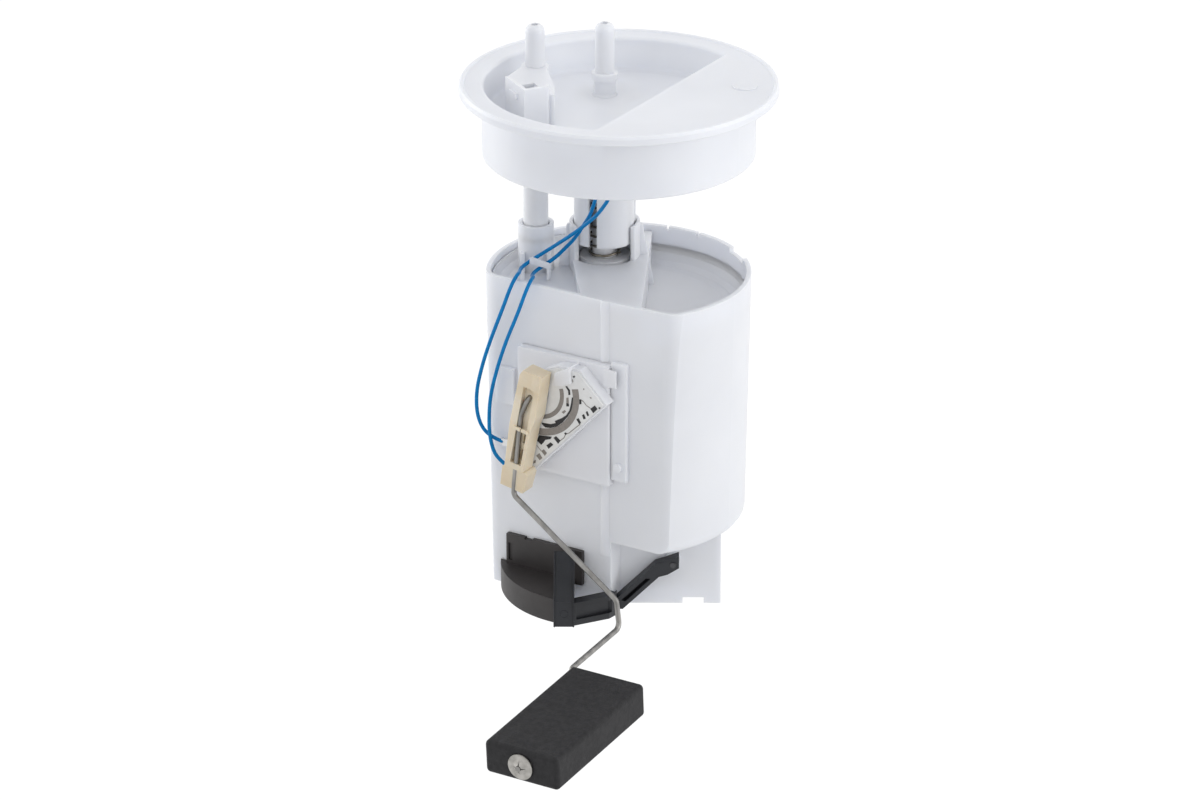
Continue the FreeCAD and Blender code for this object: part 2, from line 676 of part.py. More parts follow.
def pot_outside():
    """The pot's outer form with its rounded step and the seam rib down the flat side."""
    low_r = pot_radius(POT_STEP_Z)
    arc = arc_points((low_r - POT_EDGE, POT_STEP_Z + POT_EDGE), POT_EDGE, -90, 0)
    upper = lathe([(0, POT_STEP_Z)] + arc + [(POT_R, POT_TOP_Z), (0, POT_TOP_Z)])
    upper = upper.common(d_prism(0.0, POT_STEP_Z - 1, POT_TOP_Z + 1))
    seam = cylinder((SEAM_X, POT_FRONT_Y + SEAM_R - SEAM_OUT), SEAM_R, POT_BASE_Z, POT_TOP_Z)
    post_top = POT_STEP_Z + POT_EDGE / 2
    post_back = SKIRT_POST_D - SKIRT_FLAT
    post = box(SKIRT_POST_X[0], SKIRT_POST_X[1], -SKIRT_FLAT, post_back, POT_STEP_Z - 1, post_top)
    return upper.fuse(lower_block(0.0)).fuse(seam).fuse(clip_frame(post))


def pot_inside():
    """The pot's two chambers and the open space under its floor."""
    w = POT_WALL
    floor = POT_STEP_Z + w
    slope = POT_EDGE - w / 2
    low_r = pot_radius(floor) - w
    upper = lathe([(0, floor), (low_r - slope, floor), (low_r, floor + slope),
                   (POT_R - w, POT_TOP_Z), (POT_R - w, POT_TOP_Z + 1), (0, POT_TOP_Z + 1)])
    upper = upper.common(d_prism(w, floor - 1, POT_TOP_Z + 2))
    lower = lower_block(w)
    reach = 2 * RIM_R
    chamber = lower.common(box(-reach, reach, -reach, reach, POT_FLOOR_Z, POT_STEP_Z + 2 * POT_EDGE))
    neck = lower.common(box(-reach, reach, -reach, reach, POT_FLOOR_Z, POT_STEP_Z))
    neck.translate(V(0, 0, w))
    under = lower.common(box(-reach, reach, -reach, reach, POT_BASE_Z - 1, POT_FLOOR_Z - POT_FLOOR_T))
    return [upper, chamber, neck, under]


def rim_cuts():
    """Two narrow notches and a wide window in the pot's rim."""
    cuts = []
    for turn in NOTCH_TURNS:
        notch = box(POT_R - 6, POT_R + 2, -NOTCH_W / 2, NOTCH_W / 2, POT_TOP_Z - NOTCH_D, POT_TOP_Z + 1)
        cuts.append(turned(notch, turn))
    window = box(POT_R - 6, POT_R + 2, -WINDOW_W / 2, WINDOW_W / 2, POT_TOP_Z - WINDOW_D, POT_TOP_Z + 1)
    cuts.append(turned(window, WINDOW_TURN))
    return cuts


def skirt_arch():
    """The shallow opening in the skirt's lower edge."""
    half = ARCH_W / 2
    opening = box(ARCH_MIDDLE - half, ARCH_MIDDLE + half, -SKIRT_R - 3, -SKIRT_R / 4,
                  POT_BASE_Z - 1, POT_BASE_Z + ARCH_H)
    return clip_frame(opening)


def reservoir_pot():
    """The swirl pot itself."""
    body = pot_outside()
    for space in pot_inside() + rim_cuts() + [skirt_arch()]:
        body = body.cut(space)
    seam_gap = box(SEAM_X - SEAM_R, SEAM_X + SEAM_R, POT_FRONT_Y - SEAM_R, POT_FRONT_Y,
                   BRACKET_Z[0], BRACKET_Z[1])
    seam_foot = box(SEAM_X - SEAM_R, SEAM_X + SEAM_R, POT_FRONT_Y - SEAM_R, POT_FRONT_Y,
                    POT_BASE_Z - 1, PLATE_TOP_Z)
    rail = box(RAIL_X[0], RAIL_X[1], POT_FRONT_Y - RAIL_T, POT_FRONT_Y, RAIL_Z[0], RAIL_Z[1])
    left_rail = box(LEFT_RAIL_X[0], LEFT_RAIL_X[1], POT_FRONT_Y - RAIL_T, POT_FRONT_Y,
                    LEFT_RAIL_Z[0], LEFT_RAIL_Z[1])
    knob = Part.makeCylinder(RAIL_KNOB_R, RAIL_T + 1.5, V(RAIL_MIDDLE, POT_FRONT_Y, RAIL_KNOB_Z), V(0, -1, 0))
    lug_l = ARM_BACK - SKIRT_FLAT + POT_WALL
    lug = Part.makeCylinder(LUG_R, lug_l, V(PIN_PLACE[0], -ARM_BACK, PIN_PLACE[1]), V(0, 1, 0))
    body = body.cut(seam_gap).cut(seam_foot).fuse(rail).fuse(left_rail).fuse(knob)
    body = body.fuse(lid_ledge()).fuse(clip_frame(lug)).cut(foot_pin())
    body = body.cut(cylinder(VALVE_XY, VALVE_PORT_R, POT_FLOOR_Z - POT_FLOOR_T - 1, POT_FLOOR_Z + 1))
    return body.removeSplitter()


def lid_ledge():
    """Short ledges inside the pot that the lid rests on."""
    low = LID_TRAY_Z - LID_T - LEDGE_H
    high = LID_TRAY_Z - LID_T
    ring = tube((0, 0), pot_radius(low) - POT_WALL + 0.3, LID_LEDGE, low, high)
    ledges = None
    for turn in LEDGE_TURNS:
        sector = turned(box(0, POT_R, -LEDGE_W / 2, LEDGE_W / 2, low, high), turn)
        piece = ring.common(sector)
        ledges = piece if ledges is None else ledges.fuse(piece)
    return ledges


def lid_radius():
    """Radius of the lid's round edge."""
    return pot_radius(LID_TRAY_Z - LID_T) - POT_WALL - LID_GAP


def lid_outline(z0, z1, shrink):
    """A block with the plan of the pot's inside."""
    radius = lid_radius() - shrink
    block = cylinder((0, 0), radius, z0, z1)
    return block.common(d_prism(POT_WALL + LID_GAP + shrink, z0, z1))


def beside_line(line, side, shift, z0, z1):
    """A block that covers one side of a line across the lid."""
    (ax, ay), (bx, by) = line
    length = math.hypot(bx - ax, by - ay)
    dx, dy = (bx - ax) / length, (by - ay) / length
    nx, ny = -dy * side, dx * side
    ax, ay = ax + nx * shift, ay + ny * shift
    reach = 3 * POT_R
    points = [(ax - dx * reach, ay - dy * reach), (ax + dx * reach, ay + dy * reach),
              (ax + dx * reach + nx * reach, ay + dy * reach + ny * reach),
              (ax - dx * reach + nx * reach, ay - dy * reach + ny * reach)]
    return prism(points, z0, z1)


def tray_bowl(z):
    """The space over a sunken side of the lid, which curves up to the lid's round edge."""
    radius = lid_radius()
    curve = arc_points((radius - TRAY_FILLET, z + TRAY_FILLET), TRAY_FILLET, -90, 0)
    return lathe([(0, z)] + curve + [(radius, LID_TOP_Z + 1), (0, LID_TOP_Z + 1)])


def guide_well():
    """The well that takes the big guide tube and the spring's foot."""
    radius = TUBE_R + GUIDE_GAP + WELL_WALL
    cup = cylinder(GUIDE_XY, radius, TUBE_WELL_Z - WELL_WALL, LID_TOP_Z)
    pipe_well_r = RETURN_PIPE_R + GUIDE_GAP + WELL_WALL
    cup = cup.fuse(cylinder(GUIDE_XY, pipe_well_r, WELL_FLOOR_Z - WELL_WALL, LID_TRAY_Z))
    jaws = tube(GUIDE_XY, radius, WELL_WALL, LID_TRAY_Z, SOCKET_TOP_Z)
    window = box(-radius - 1, radius + 1, -radius - 1, radius * math.cos(math.radians(90 + JAW_TURN)),
                 LID_TOP_Z, SOCKET_TOP_Z + 1)
    window.translate(V(GUIDE_XY[0], GUIDE_XY[1], 0))
    jaws = jaws.cut(turned(window, CLIP_TURN, GUIDE_XY))
    ribs = None
    for turn in (CLIP_TURN, CLIP_TURN + 180):
        inner = radius - WELL_WALL / 3
        low = LID_TRAY_Z - LID_T / 3
        points = [(inner, SOCKET_TOP_Z - RIB_DROP), (radius + RIB_NECK, SOCKET_TOP_Z - RIB_DROP),
                  (radius + RIB_OUT, LID_TRAY_Z), (radius + RIB_OUT, low), (inner, low)]
        rib = side_prism(points, -RIB_T / 2, RIB_T / 2)
        rib.translate(V(GUIDE_XY[0], GUIDE_XY[1], 0))
        rib = turned(rib, turn, GUIDE_XY)
        ribs = rib if ribs is None else ribs.fuse(rib)
    return cup, jaws, ribs


def rod_socket():
    """The tall socket round the guide rod, wider below the step that stops the snap ring."""
    step = SOCKET_STEP_Z
    radius = ROD_R + GUIDE_GAP + SOCKET_WALL
    wide = RING_R + RING_LIP + WELL_WALL
    bottom = WELL_FLOOR_Z - WELL_WALL
    return lathe([(0, bottom), (wide, bottom), (wide, step - 4.0), (radius, step), (radius, SOCKET_TOP_Z),
                  (0, SOCKET_TOP_Z)], ROD_XY)


def rod_bore():
    """The stepped bore of the rod's socket, with the seal's groove."""
    step = SOCKET_STEP_Z
    radius = ROD_R + GUIDE_GAP
    wide = RING_R + RING_LIP
    groove = ROD_R + SEAL_SQUEEZE + 2 * SEAL_R
    seal_z = SOCKET_TOP_Z - SEAL_DROP
    flare = RING_LIP
    mouth_z = SOCKET_TOP_Z + flare
    return lathe([(0, WELL_FLOOR_Z), (wide, WELL_FLOOR_Z), (wide, step), (radius, step),
                  (radius, seal_z - SEAL_R), (groove, seal_z - SEAL_R), (groove, seal_z + SEAL_R),
                  (radius, seal_z + SEAL_R), (radius, SOCKET_TOP_Z - flare), (radius + 2 * flare, mouth_z),
                  (0, mouth_z)], ROD_XY)


def lead_bracket():
    """Two ribs from the rod's socket to the front of the lid, under the leads' clip."""
    ribs = None
    radius = ROD_R + GUIDE_GAP + SOCKET_WALL
    low = LEFT_TRAY_Z - LID_T / 3
    high = LEAD_CLIP_Z + BRACKET_RIB_UP
    for offset in (-BRACKET_RIB_X, BRACKET_RIB_X):
        points = [(-radius - RIB_NECK, LEAD_CLIP_Z), (-radius - BRACKET_RIB_OUT, LEFT_TRAY_Z),
                  (-radius - BRACKET_RIB_OUT, low), (-BRACKET_RIB_IN, low), (-BRACKET_RIB_IN, high),
                  (-radius, high)]
        rib = wall_prism(points, offset - RIB_T / 2, offset + RIB_T / 2)
        rib.translate(V(ROD_XY[0], ROD_XY[1], 0))
        rib = turned(rib, CLIP_TURN, ROD_XY)
        ribs = rib if ribs is None else ribs.fuse(rib)
    return ribs


def reservoir_lid():
    """The lid in the pot's mouth: raised middle, sunken sides, the two guides' sockets."""
    bottom = LID_TRAY_Z - LID_T
    left = beside_line(LEFT_EDGE, -1, 0.0, bottom - 1, LID_TOP_Z + 1)
    right = beside_line(RIGHT_EDGE, 1, 0.0, bottom - 1, LID_TOP_Z + 1)
    block = lid_outline(bottom, LID_TOP_Z, 0.0)
    block = block.cut(tray_bowl(LEFT_TRAY_Z).common(left)).cut(tray_bowl(LID_TRAY_Z).common(right))
    under_left = beside_line(LEFT_EDGE, -1, -LID_T, LEFT_TRAY_Z - LID_T, LID_TOP_Z)
    under_right = beside_line(RIGHT_EDGE, 1, -LID_T, bottom - 2, LID_TOP_Z)
    hollow = lid_outline(bottom - 1, LID_TOP_Z - LID_T, LID_T).cut(under_left).cut(under_right)
    block = block.cut(hollow)
    cup, jaws, ribs = guide_well()
    block = block.fuse(cup).fuse(jaws).fuse(ribs).fuse(lead_bracket()).fuse(rod_socket())
    inner = TUBE_R + GUIDE_GAP
    seat_r = TUBE_R - TUBE_WALL - GUIDE_GAP
    block = block.cut(tube(GUIDE_XY, inner, inner - seat_r, TUBE_WELL_Z, SPRING_SEAT_Z))
    block = block.cut(cylinder(GUIDE_XY, inner, SPRING_SEAT_Z, SOCKET_TOP_Z + 1))
    block = block.cut(cylinder(GUIDE_XY, RETURN_PIPE_R + GUIDE_GAP, WELL_FLOOR_Z, SOCKET_TOP_Z + 1))
    block = block.cut(rod_bore())
    under = WELL_FLOOR_Z - WELL_WALL - 1
    block = block.cut(cylinder(GUIDE_XY, WELL_HOLE_R, under, WELL_FLOOR_Z + 1))
    block = block.cut(cylinder(ROD_XY, OUTLET_R - OUTLET_WALL, under, WELL_FLOOR_Z + 1))
    block = block.cut(cylinder(OVERFLOW_XY, OVERFLOW_R, bottom - 1, LID_TRAY_Z + 1))
    return block.removeSplitter()


def socket_seal():
    """The seal ring with its eight-sided section in the rod socket's groove."""
    middle = (ROD_R + SEAL_SQUEEZE + SEAL_R, SOCKET_TOP_Z - SEAL_DROP)
    return lathe(arc_points(middle, SEAL_R, 0, 315, 7), ROD_XY)


def lead_clip():
    """The hook in front of the rod's socket that holds both leads back, on a thin post."""
    front = -(ROD_R + GUIDE_GAP + SOCKET_WALL + CLIP_REACH)
    clip = side_prism(CLIP_OUTLINE, front, front + CLIP_T)
    clip.translate(V(ROD_XY[0], ROD_XY[1], 0))
    clip = turned(clip, CLIP_TURN, ROD_XY)
    return clip.cut(lead_bracket()).removeSplitter()


def card_outline(margin, y0, y1):
    """The card's outline: square at its right corner, cut short on the left and at the top."""
    right_x, right_z = CARD_RIGHT
    foot_x, foot_z = CARD_FOOT
    top_x = right_x - (CARD_TOP_Z - right_z)
    left_z = foot_z + (foot_x - CARD_LEFT_X)
    flat, shoulder, drop, fall = CARD_CUTS
    points = [CARD_RIGHT, (top_x, CARD_TOP_Z), (top_x - flat, CARD_TOP_Z),
              (top_x - shoulder, CARD_TOP_Z - drop), (CARD_LEFT_X, CARD_TOP_Z - fall),
              (CARD_LEFT_X, left_z), CARD_FOOT]
    corners = [V(x, y0, z) for x, z in points]
    wire = Part.makePolygon(corners + corners[:1])
    if margin:
        wire = wire.makeOffset2D(margin, 2)
    return Part.Face(wire).extrude(V(0, y1 - y0, 0))


def along_y(radius, y0, y1, x=PIVOT_X, z=PIVOT_Z):
    """A cylinder along Y, at the pivot unless told otherwise."""
    return Part.makeCylinder(radius, y1 - y0, V(x, y0, z), V(0, 1, 0))


CARD_BACK_Y = POT_FRONT_Y - BRACKET_T - CARD_SEAT_T
CARD_FRONT_Y = CARD_BACK_Y - CARD_T


def sender_bracket():
    """The white mounting plate on the flat side, with the card's seat, bearing and clips."""
    back = POT_FRONT_Y
    front = POT_FRONT_Y - BRACKET_T
    plate = box(BRACKET_X[0], BRACKET_X[1], front, back, BRACKET_Z[0], BRACKET_Z[1])
    plate = plate.fuse(card_outline(CARD_SEAT_RIM, CARD_BACK_Y, front))
    plate = plate.fuse(along_y(BEARING_R, BEARING_FRONT_Y, front))
    clip = side_prism(CARD_CLIP_OUTLINE, CARD_FRONT_Y - CARD_CLIP_T, front)
    plate = plate.fuse(clip)
    hook = box(BRACKET_X[1] - TONGUE_LAP, RAIL_MIDDLE, front - HOOK_T, front, TONGUE_Z[0], TONGUE_Z[1])
    plate = plate.fuse(hook)
    plate = plate.cut(resistor_card())
    plate = plate.cut(along_y(WIRE_R + HINGE_GAP, BEARING_FRONT_Y - 1, back + 1))
    return plate.removeSplitter()


def resistor_card():
    """The ceramic card, with a hole for the bearing."""
    card = card_outline(0.0, CARD_FRONT_Y, CARD_BACK_Y)
    return card.cut(along_y(CARD_HOLE_R, CARD_FRONT_Y - 1, CARD_BACK_Y + 1))


def lead_terminals():
    """Two tinned terminal strips beside the bracket's lower left corner, where the leads end."""
    front = POT_FRONT_Y - BRACKET_T
    strips = []
    for x, z in (TERMINAL_ONE, TERMINAL_TWO):
        strip = box(x, BRACKET_X[0], front, front + TERMINAL_T, z - TERMINAL_H / 2, z + TERMINAL_H / 2)
        strips.append(strip)
    return Part.makeCompound(strips)


def carrier_frame(shape):
    """Tilts a piece from the carrier's own axes (z up along it) about the pivot."""
    copy = shape.copy()
    copy.rotate(V(0, 0, 0), V(0, 1, 0), CARRIER_TILT)
    copy.translate(V(PIVOT_X, 0, PIVOT_Z))
    return copy


def wiper_carrier():
    """The cream carrier that the float wire clips into, with its hub and snap block."""
    half = CARRIER_W / 2
    step = CLIP_BLOCK_STEP
    outline = [(-half, CARRIER_UP - 4 * step), (-half + 2 * step, CARRIER_UP), (half - step, CARRIER_UP)]
    outline += list(CARRIER_WAIST) + [(-half + step, -CARRIER_DOWN), (-half - step, CARRIER_WAIST[1][1])]
    body = side_prism(outline, CARRIER_FRONT_Y, CARRIER_BACK_Y)
    body = body.fuse(side_prism(CARRIER_HORN, CARRIER_HORN_Y, CARRIER_FRONT_Y))
    wide = CLIP_BLOCK_W / 2
    top = -CARRIER_DOWN
    low = -CARRIER_DOWN - CLIP_BLOCK_H
    block_line = [(-wide, top - 2 * step), (-wide + 2 * step, top), (wide - 2 * step, top),
                  (wide, top - 2 * step), (wide - step, low), (-wide + step, low)]
    block = side_prism(block_line, CARRIER_FRONT_Y + step, CARRIER_BACK_Y + step)
    body = carrier_frame(body.fuse(block))
    hub = along_y(BEARING_R, CARRIER_BACK_Y - 1, BEARING_FRONT_Y - NEAR_GAP)
    return body.fuse(hub).cut(wire_clearance()).fuse(carrier_frame(wire_tabs())).removeSplitter()


def wire_tabs():
    """Two snap tabs over the groove, one from each side, with a slit between them."""
    half = CARRIER_CHANNEL_W / 2
    low, high = CARRIER_TAB_Z
    tabs = None
    for side in (-1, 1):
        edge = sorted((side * NEAR_GAP, side * (half + CARRIER_TAB_T)))
        tab = box(edge[0], edge[1], CARRIER_FRONT_Y - CARRIER_TAB_T, CARRIER_FRONT_Y, low, high)
        tabs = tab if tabs is None else tabs.fuse(tab)
    return tabs


def wire_clearance():
    """The open groove in the carrier's front that the wire lies in."""
    half = CARRIER_CHANNEL_W / 2
    depth = WIRE_Y + WIRE_R
    low = CARRIER_CHANNEL_W / 2 - CARRIER_DOWN
    groove = box(-half, half, CARRIER_FRONT_Y - 1, depth, low, CARRIER_CHANNEL_TOP)
    slots = None
    for z in CARRIER_SLOTS:
        low_z = z - CARRIER_SLOT_H / 2
        slot = box(CARRIER_SLOT_X[0], CARRIER_SLOT_X[1], CARRIER_FRONT_Y - 1,
                   CARRIER_BACK_Y - 2 * CLIP_BLOCK_STEP, low_z, low_z + CARRIER_SLOT_H)
        slots = slot if slots is None else slots.fuse(slot)
    return carrier_frame(groove.fuse(slots)).fuse(arm_wire(WIRE_R))


def wiper_contacts():
    """The wiper's two spring fingers behind the carrier, over the card's arcs."""
    fingers = []
    back = CARRIER_BACK_Y
    root = -BEARING_R - CONTACT_W / 2
    for reach, offset in CONTACT_ARMS:
        left = offset - CONTACT_W / 2
        right = offset + CONTACT_W / 2
        arm = box(left, right, back, back + CONTACT_T, -reach, root)
        leg = box(left, right, back, CARD_FRONT_Y - NEAR_GAP, -reach - CONTACT_T, -reach)
        fingers.append(carrier_frame(arm.fuse(leg)).removeSplitter())
    return Part.makeCompound(fingers)


def wire_points():
    """The float wire's corners, from its end in the bearing to the nut in front of the float."""
    x, y, z = FLOAT_CENTRE
    lean = math.tan(math.radians(FLOAT_TILT))
    back_y = y + FLOAT_L / 2 + WIRE_BEND + WIRE_R + WIRE_GAP
    front_y = y - FLOAT_L / 2 - NUT_GAP - NUT_T - WIRE_TAIL
    bend_z = z + lean * (back_y - y)
    corner_z = z + lean * (WIRE_Y - y)
    front_z = z + lean * (front_y - y)
    knees = [(knee_x, WIRE_Y, knee_z) for knee_x, knee_z in WIRE_KNEES]
    return [(PIVOT_X, WIRE_BACK_Y, PIVOT_Z), (PIVOT_X, WIRE_Y, PIVOT_Z)] + knees + [
        (WIRE_FOOT_X, WIRE_Y, corner_z), (WIRE_FOOT_X, back_y, bend_z), (x, back_y, bend_z),
        (x, front_y, front_z)]


def arm_wire(radius):
    """The float wire's solid."""
    return bent_tube(wire_points(), WIRE_BEND, radius)


def float_frame(shape):
    """Tilts a piece about the float's middle, like the wire's end."""
    copy = shape.copy()
    copy.rotate(V(*FLOAT_CENTRE), V(1, 0, 0), FLOAT_TILT)
    return copy


def float_block():
    """The foam float with rounded edges and its bore."""
    x, y, z = FLOAT_CENTRE
    block = box(x - FLOAT_W / 2, x + FLOAT_W / 2, y - FLOAT_L / 2, y + FLOAT_L / 2,
                z - FLOAT_H / 2, z + FLOAT_H / 2)
    block = block.makeFillet(FLOAT_EDGE, block.Edges)
    bore = along_y(WIRE_R + FLOAT_BORE_GAP, y - FLOAT_L, y + FLOAT_L, x, z)
    return float_frame(block.cut(bore))


def stop_nut():
    """The push-on nut at the wire's end, a thin disc with a raised crown."""
    x, y, z = FLOAT_CENTRE
    face = y - FLOAT_L / 2 - NUT_GAP
    disc = along_y(NUT_R, face - NUT_T, face, x, z)
    crown_back = V(x, face - NUT_T - NUT_CROWN_H, z)
    crown = Part.makeCone(WIRE_R + NUT_T, WIRE_R + NUT_CROWN_W, NUT_CROWN_H, crown_back, V(0, 1, 0))
    nut = disc.fuse(crown)
    nut = nut.cut(along_y(WIRE_R, y - FLOAT_L, y, x, z))
    return float_frame(nut.removeSplitter())


def pump_body():
    """The pump's steel can, rolled over at both ends."""
    low = PUMP_TOP_Z - PUMP_H
    edge = PUMP_R - PUMP_EDGE
    return lathe([(0, low), (edge, low), (PUMP_R, low + PUMP_EDGE), (PUMP_R, PUMP_TOP_Z - PUMP_EDGE),
                  (edge, PUMP_TOP_Z), (0, PUMP_TOP_Z)], PUMP_XY)


def pump_cap():
    """The pump's top cover with its outlet and check valve housing."""
    top = PUMP_TOP_Z + PUMP_CAP_H
    radius = PUMP_R - PUMP_STEP
    cap = lathe([(0, PUMP_TOP_Z), (radius, PUMP_TOP_Z), (radius, top - PUMP_EDGE), (radius - PUMP_STEP, top),
                 (0, top)], PUMP_XY)
    outlet = pump_outlet_xy()
    nozzle_top = top + OUTLET_NOZZLE_H
    cap = cap.fuse(cylinder(outlet, OUTLET_R + OUTLET_WALL, PUMP_TOP_Z, nozzle_top))
    return cap.cut(cylinder(outlet, OUTLET_R - OUTLET_WALL, PUMP_TOP_Z + 1, nozzle_top)).removeSplitter()


def pump_outlet_xy():
    """The pump outlet's place, on the side towards the guide rod."""
    return (PUMP_XY[0] - PUMP_R / 2, PUMP_XY[1])


def pump_inlet():
    """The pump's lower cover with the inlet collar."""
    low = PUMP_TOP_Z - PUMP_H
    radius = PUMP_R - PUMP_STEP
    shoulder = low - PUMP_STEP
    return lathe([(0, low - PUMP_INLET_H), (PUMP_INLET_R, low - PUMP_INLET_H), (PUMP_INLET_R, shoulder),
                  (radius, shoulder), (radius, low), (0, low)], PUMP_XY)


def pump_sleeve():
    """The rubber sleeve that holds the pump in the pot."""
    middle = PUMP_TOP_Z - PUMP_H / 2
    z0 = middle - SLEEVE_H / 2
    z1 = middle + SLEEVE_H / 2
    sleeve = tube(PUMP_XY, PUMP_R + SLEEVE_T, SLEEVE_T, z0, z1)
    outside = PUMP_R + SLEEVE_T
    for turn in SLEEVE_FIN_TURNS:
        fin = box(outside - SLEEVE_T / 2, outside + SLEEVE_FIN_OUT, -SLEEVE_FIN_T / 2, SLEEVE_FIN_T / 2,
                  z0, z1)
        fin.translate(V(PUMP_XY[0], PUMP_XY[1], 0))
        sleeve = sleeve.fuse(turned(fin, turn, PUMP_XY))
    return sleeve.removeSplitter()


def pump_strainer():
    """The flat filter sock under the pump's inlet."""
    top = PUMP_TOP_Z - PUMP_H - PUMP_INLET_H
    low = top - STRAINER_T
    edge = STRAINER_R - PUMP_EDGE
    return lathe([(0, low), (edge, low), (STRAINER_R, low + PUMP_EDGE), (STRAINER_R, top - PUMP_EDGE),
                  (edge, top), (0, top)], PUMP_XY)


def outlet_pipe():
    """The moulded pipe from the pump's outlet, under the spring's well, to the rod's socket."""
    x, y = pump_outlet_xy()
    top = PUMP_TOP_Z + PUMP_CAP_H + OUTLET_NOZZLE_H
    end_z = WELL_FLOOR_Z - WELL_WALL
    low_z = end_z - OUTLET_DROP
    points = [(x, y, top), (x, y, OUTLET_RISE_Z), OUTLET_CORNER + (OUTLET_RISE_Z,),
              OUTLET_CORNER + (low_z,), ROD_XY + (low_z,), ROD_XY + (end_z,)]
    return elbow_pipe(points, OUTLET_R).cut(elbow_pipe(points, OUTLET_R - OUTLET_WALL)).removeSplitter()


def elbow_pipe(points, radius):
    """Straight round runs joined by square elbow blocks."""
    path = [V(*p) for p in points]
    solid = None
    for start, end in zip(path, path[1:]):
        run = Part.makeCylinder(radius, (end - start).Length, start, end - start)
        solid = run if solid is None else solid.fuse(run)
    for corner in path[1:-1]:
        block = Part.makeBox(2 * radius, 2 * radius, 2 * radius, corner - V(radius, radius, radius))
        solid = solid.fuse(block)
    return solid


def foot_valve():
    """The umbrella valve in the pot's floor that lets fuel in from the foot strainer."""
    stem = cylinder(VALVE_XY, VALVE_PORT_R - NEAR_GAP, POT_FLOOR_Z - 2 * POT_FLOOR_T, POT_FLOOR_Z)
    top = POT_FLOOR_Z + VALVE_H
    edge = POT_FLOOR_Z + VALVE_H / 3
    cap = lathe([(0, POT_FLOOR_Z), (VALVE_R, POT_FLOOR_Z), (VALVE_R, edge), (VALVE_H, top), (0, top)],
                VALVE_XY)
    return cap.fuse(stem).removeSplitter()


def strainer_foot():
    """The black foot at the base: a curved strainer box with a back plate on the flat side."""
    body = cylinder(FOOT_CENTRE, FOOT_R, POT_BASE_Z, FOOT_TOP_Z)
    body = body.common(box(-RIM_R, RIM_R, -RIM_R, POT_FRONT_Y, POT_BASE_Z, FOOT_TOP_Z))
    reach = 2 * RIM_R
    beyond = clip_frame(box(STRAP_SPAN[1] - STRAP_LAP, reach, -reach, reach, POT_BASE_Z - 1, FOOT_TOP_Z + 1))
    body = body.cut(beyond)
    face = POT_FRONT_Y - PLATE_T
    plate = box(PLATE_X[0], PLATE_X[1], face, POT_FRONT_Y, FOOT_TOP_Z - PLATE_T, PLATE_TOP_Z)
    notch = box(PLATE_NOTCH_X[0], PLATE_NOTCH_X[1], face - 1, POT_FRONT_Y + 1,
                PLATE_TOP_Z - PLATE_NOTCH_D, PLATE_TOP_Z + 1)
    slot = box(PLATE_SLOT[0], PLATE_SLOT[1], face - 1, face + PLATE_SLOT_D, PLATE_SLOT[2], PLATE_SLOT[3])
    body = body.fuse(plate.cut(notch).cut(slot))
    return body.removeSplitter()


def foot_clip():
    """The clip over the foot: a strap, a channel round the corner and a ribbed arm up to its pin."""
    strap = wall_prism(STRAP_OUTLINE, STRAP_SPAN[0], STRAP_SPAN[1])
    channel = prism(CHANNEL_OUTLINE, POT_BASE_Z, CHANNEL_TOP_Z)
    groove = prism(CHANNEL_GROOVE, POT_BASE_Z + CHANNEL_LIPS[0], CHANNEL_TOP_Z - CHANNEL_LIPS[1])
    elbow = prism(ELBOW_OUTLINE, POT_BASE_Z, ELBOW_TOP_Z)
    front = -ARM_BACK - ARM_T
    arm = side_prism(ARM_OUTLINE, front, -ARM_BACK)
    pocket = side_prism(ARM_POCKET, front, -ARM_BACK - ARM_WEB_T)
    body = strap.fuse(channel.cut(groove)).fuse(elbow).fuse(arm.cut(pocket))
    body = clip_frame(body)
    body = body.cut(strainer_foot()).cut(foot_pin()).cut(pot_outside())
    return body.removeSplitter()


def foot_pin():
    """The small pin through the arm's end and the lug on the pot's skirt."""
    start = V(PIN_PLACE[0], -ARM_BACK - ARM_T - PIN_HEAD, PIN_PLACE[1])
    pin = Part.makeCylinder(CLIP_PIN_R, SKIRT_PIN_L, start, V(0, 1, 0))
    return clip_frame(pin)


def leads():
    """The sender's two leads, each in an upper part over the sliding gap and a lower part."""
    pieces = {}
    for name, points in LEAD_ROUTES.items():
        pieces[name] = lead_tube(name, points)
    return pieces


def export(name, shape):
    """Writes one sub-part's STEP file and prints what it holds."""
    print(name, "solids", len(shape.Solids), "volume", round(shape.Volume), "valid", shape.isValid())
    shape.exportStep("parts/" + name + ".step")


def main():
    """Builds and writes every sub-part."""
    os.makedirs("parts", exist_ok=True)
    export("flange_cover", flange_cover())
    export("connector_pins", connector_pins())
    export("guide_tube", guide_tube())
    export("return_pipe", return_pipe())
    export("guide_spring", guide_spring())
    export("guide_rod", guide_rod())
    export("guide_ring", guide_ring())
    export("reservoir_pot", reservoir_pot())
    export("reservoir_lid", reservoir_lid())
    export("socket_seal", socket_seal())
    export("lead_clip", lead_clip())
    export("sender_bracket", sender_bracket())
    export("resistor_card", resistor_card())
    export("lead_terminals", lead_terminals())
    export("wiper_carrier", wiper_carrier())
    export("wiper_contacts", wiper_contacts())
    export("float_wire", arm_wire(WIRE_R))
    export("float_block", float_block())
    export("stop_nut", stop_nut())
    export("pump_body", pump_body())
    export("pump_cap", pump_cap())
    export("pump_inlet", pump_inlet())
    export("pump_sleeve", pump_sleeve())
    export("pump_strainer", pump_strainer())
    export("outlet_pipe", outlet_pipe())
    export("foot_valve", foot_valve())
    export("strainer_foot", strainer_foot())
    export("foot_clip", foot_clip())
    export("foot_pin", foot_pin())
    for name, shape in leads().items():
        export(name, shape)


main()
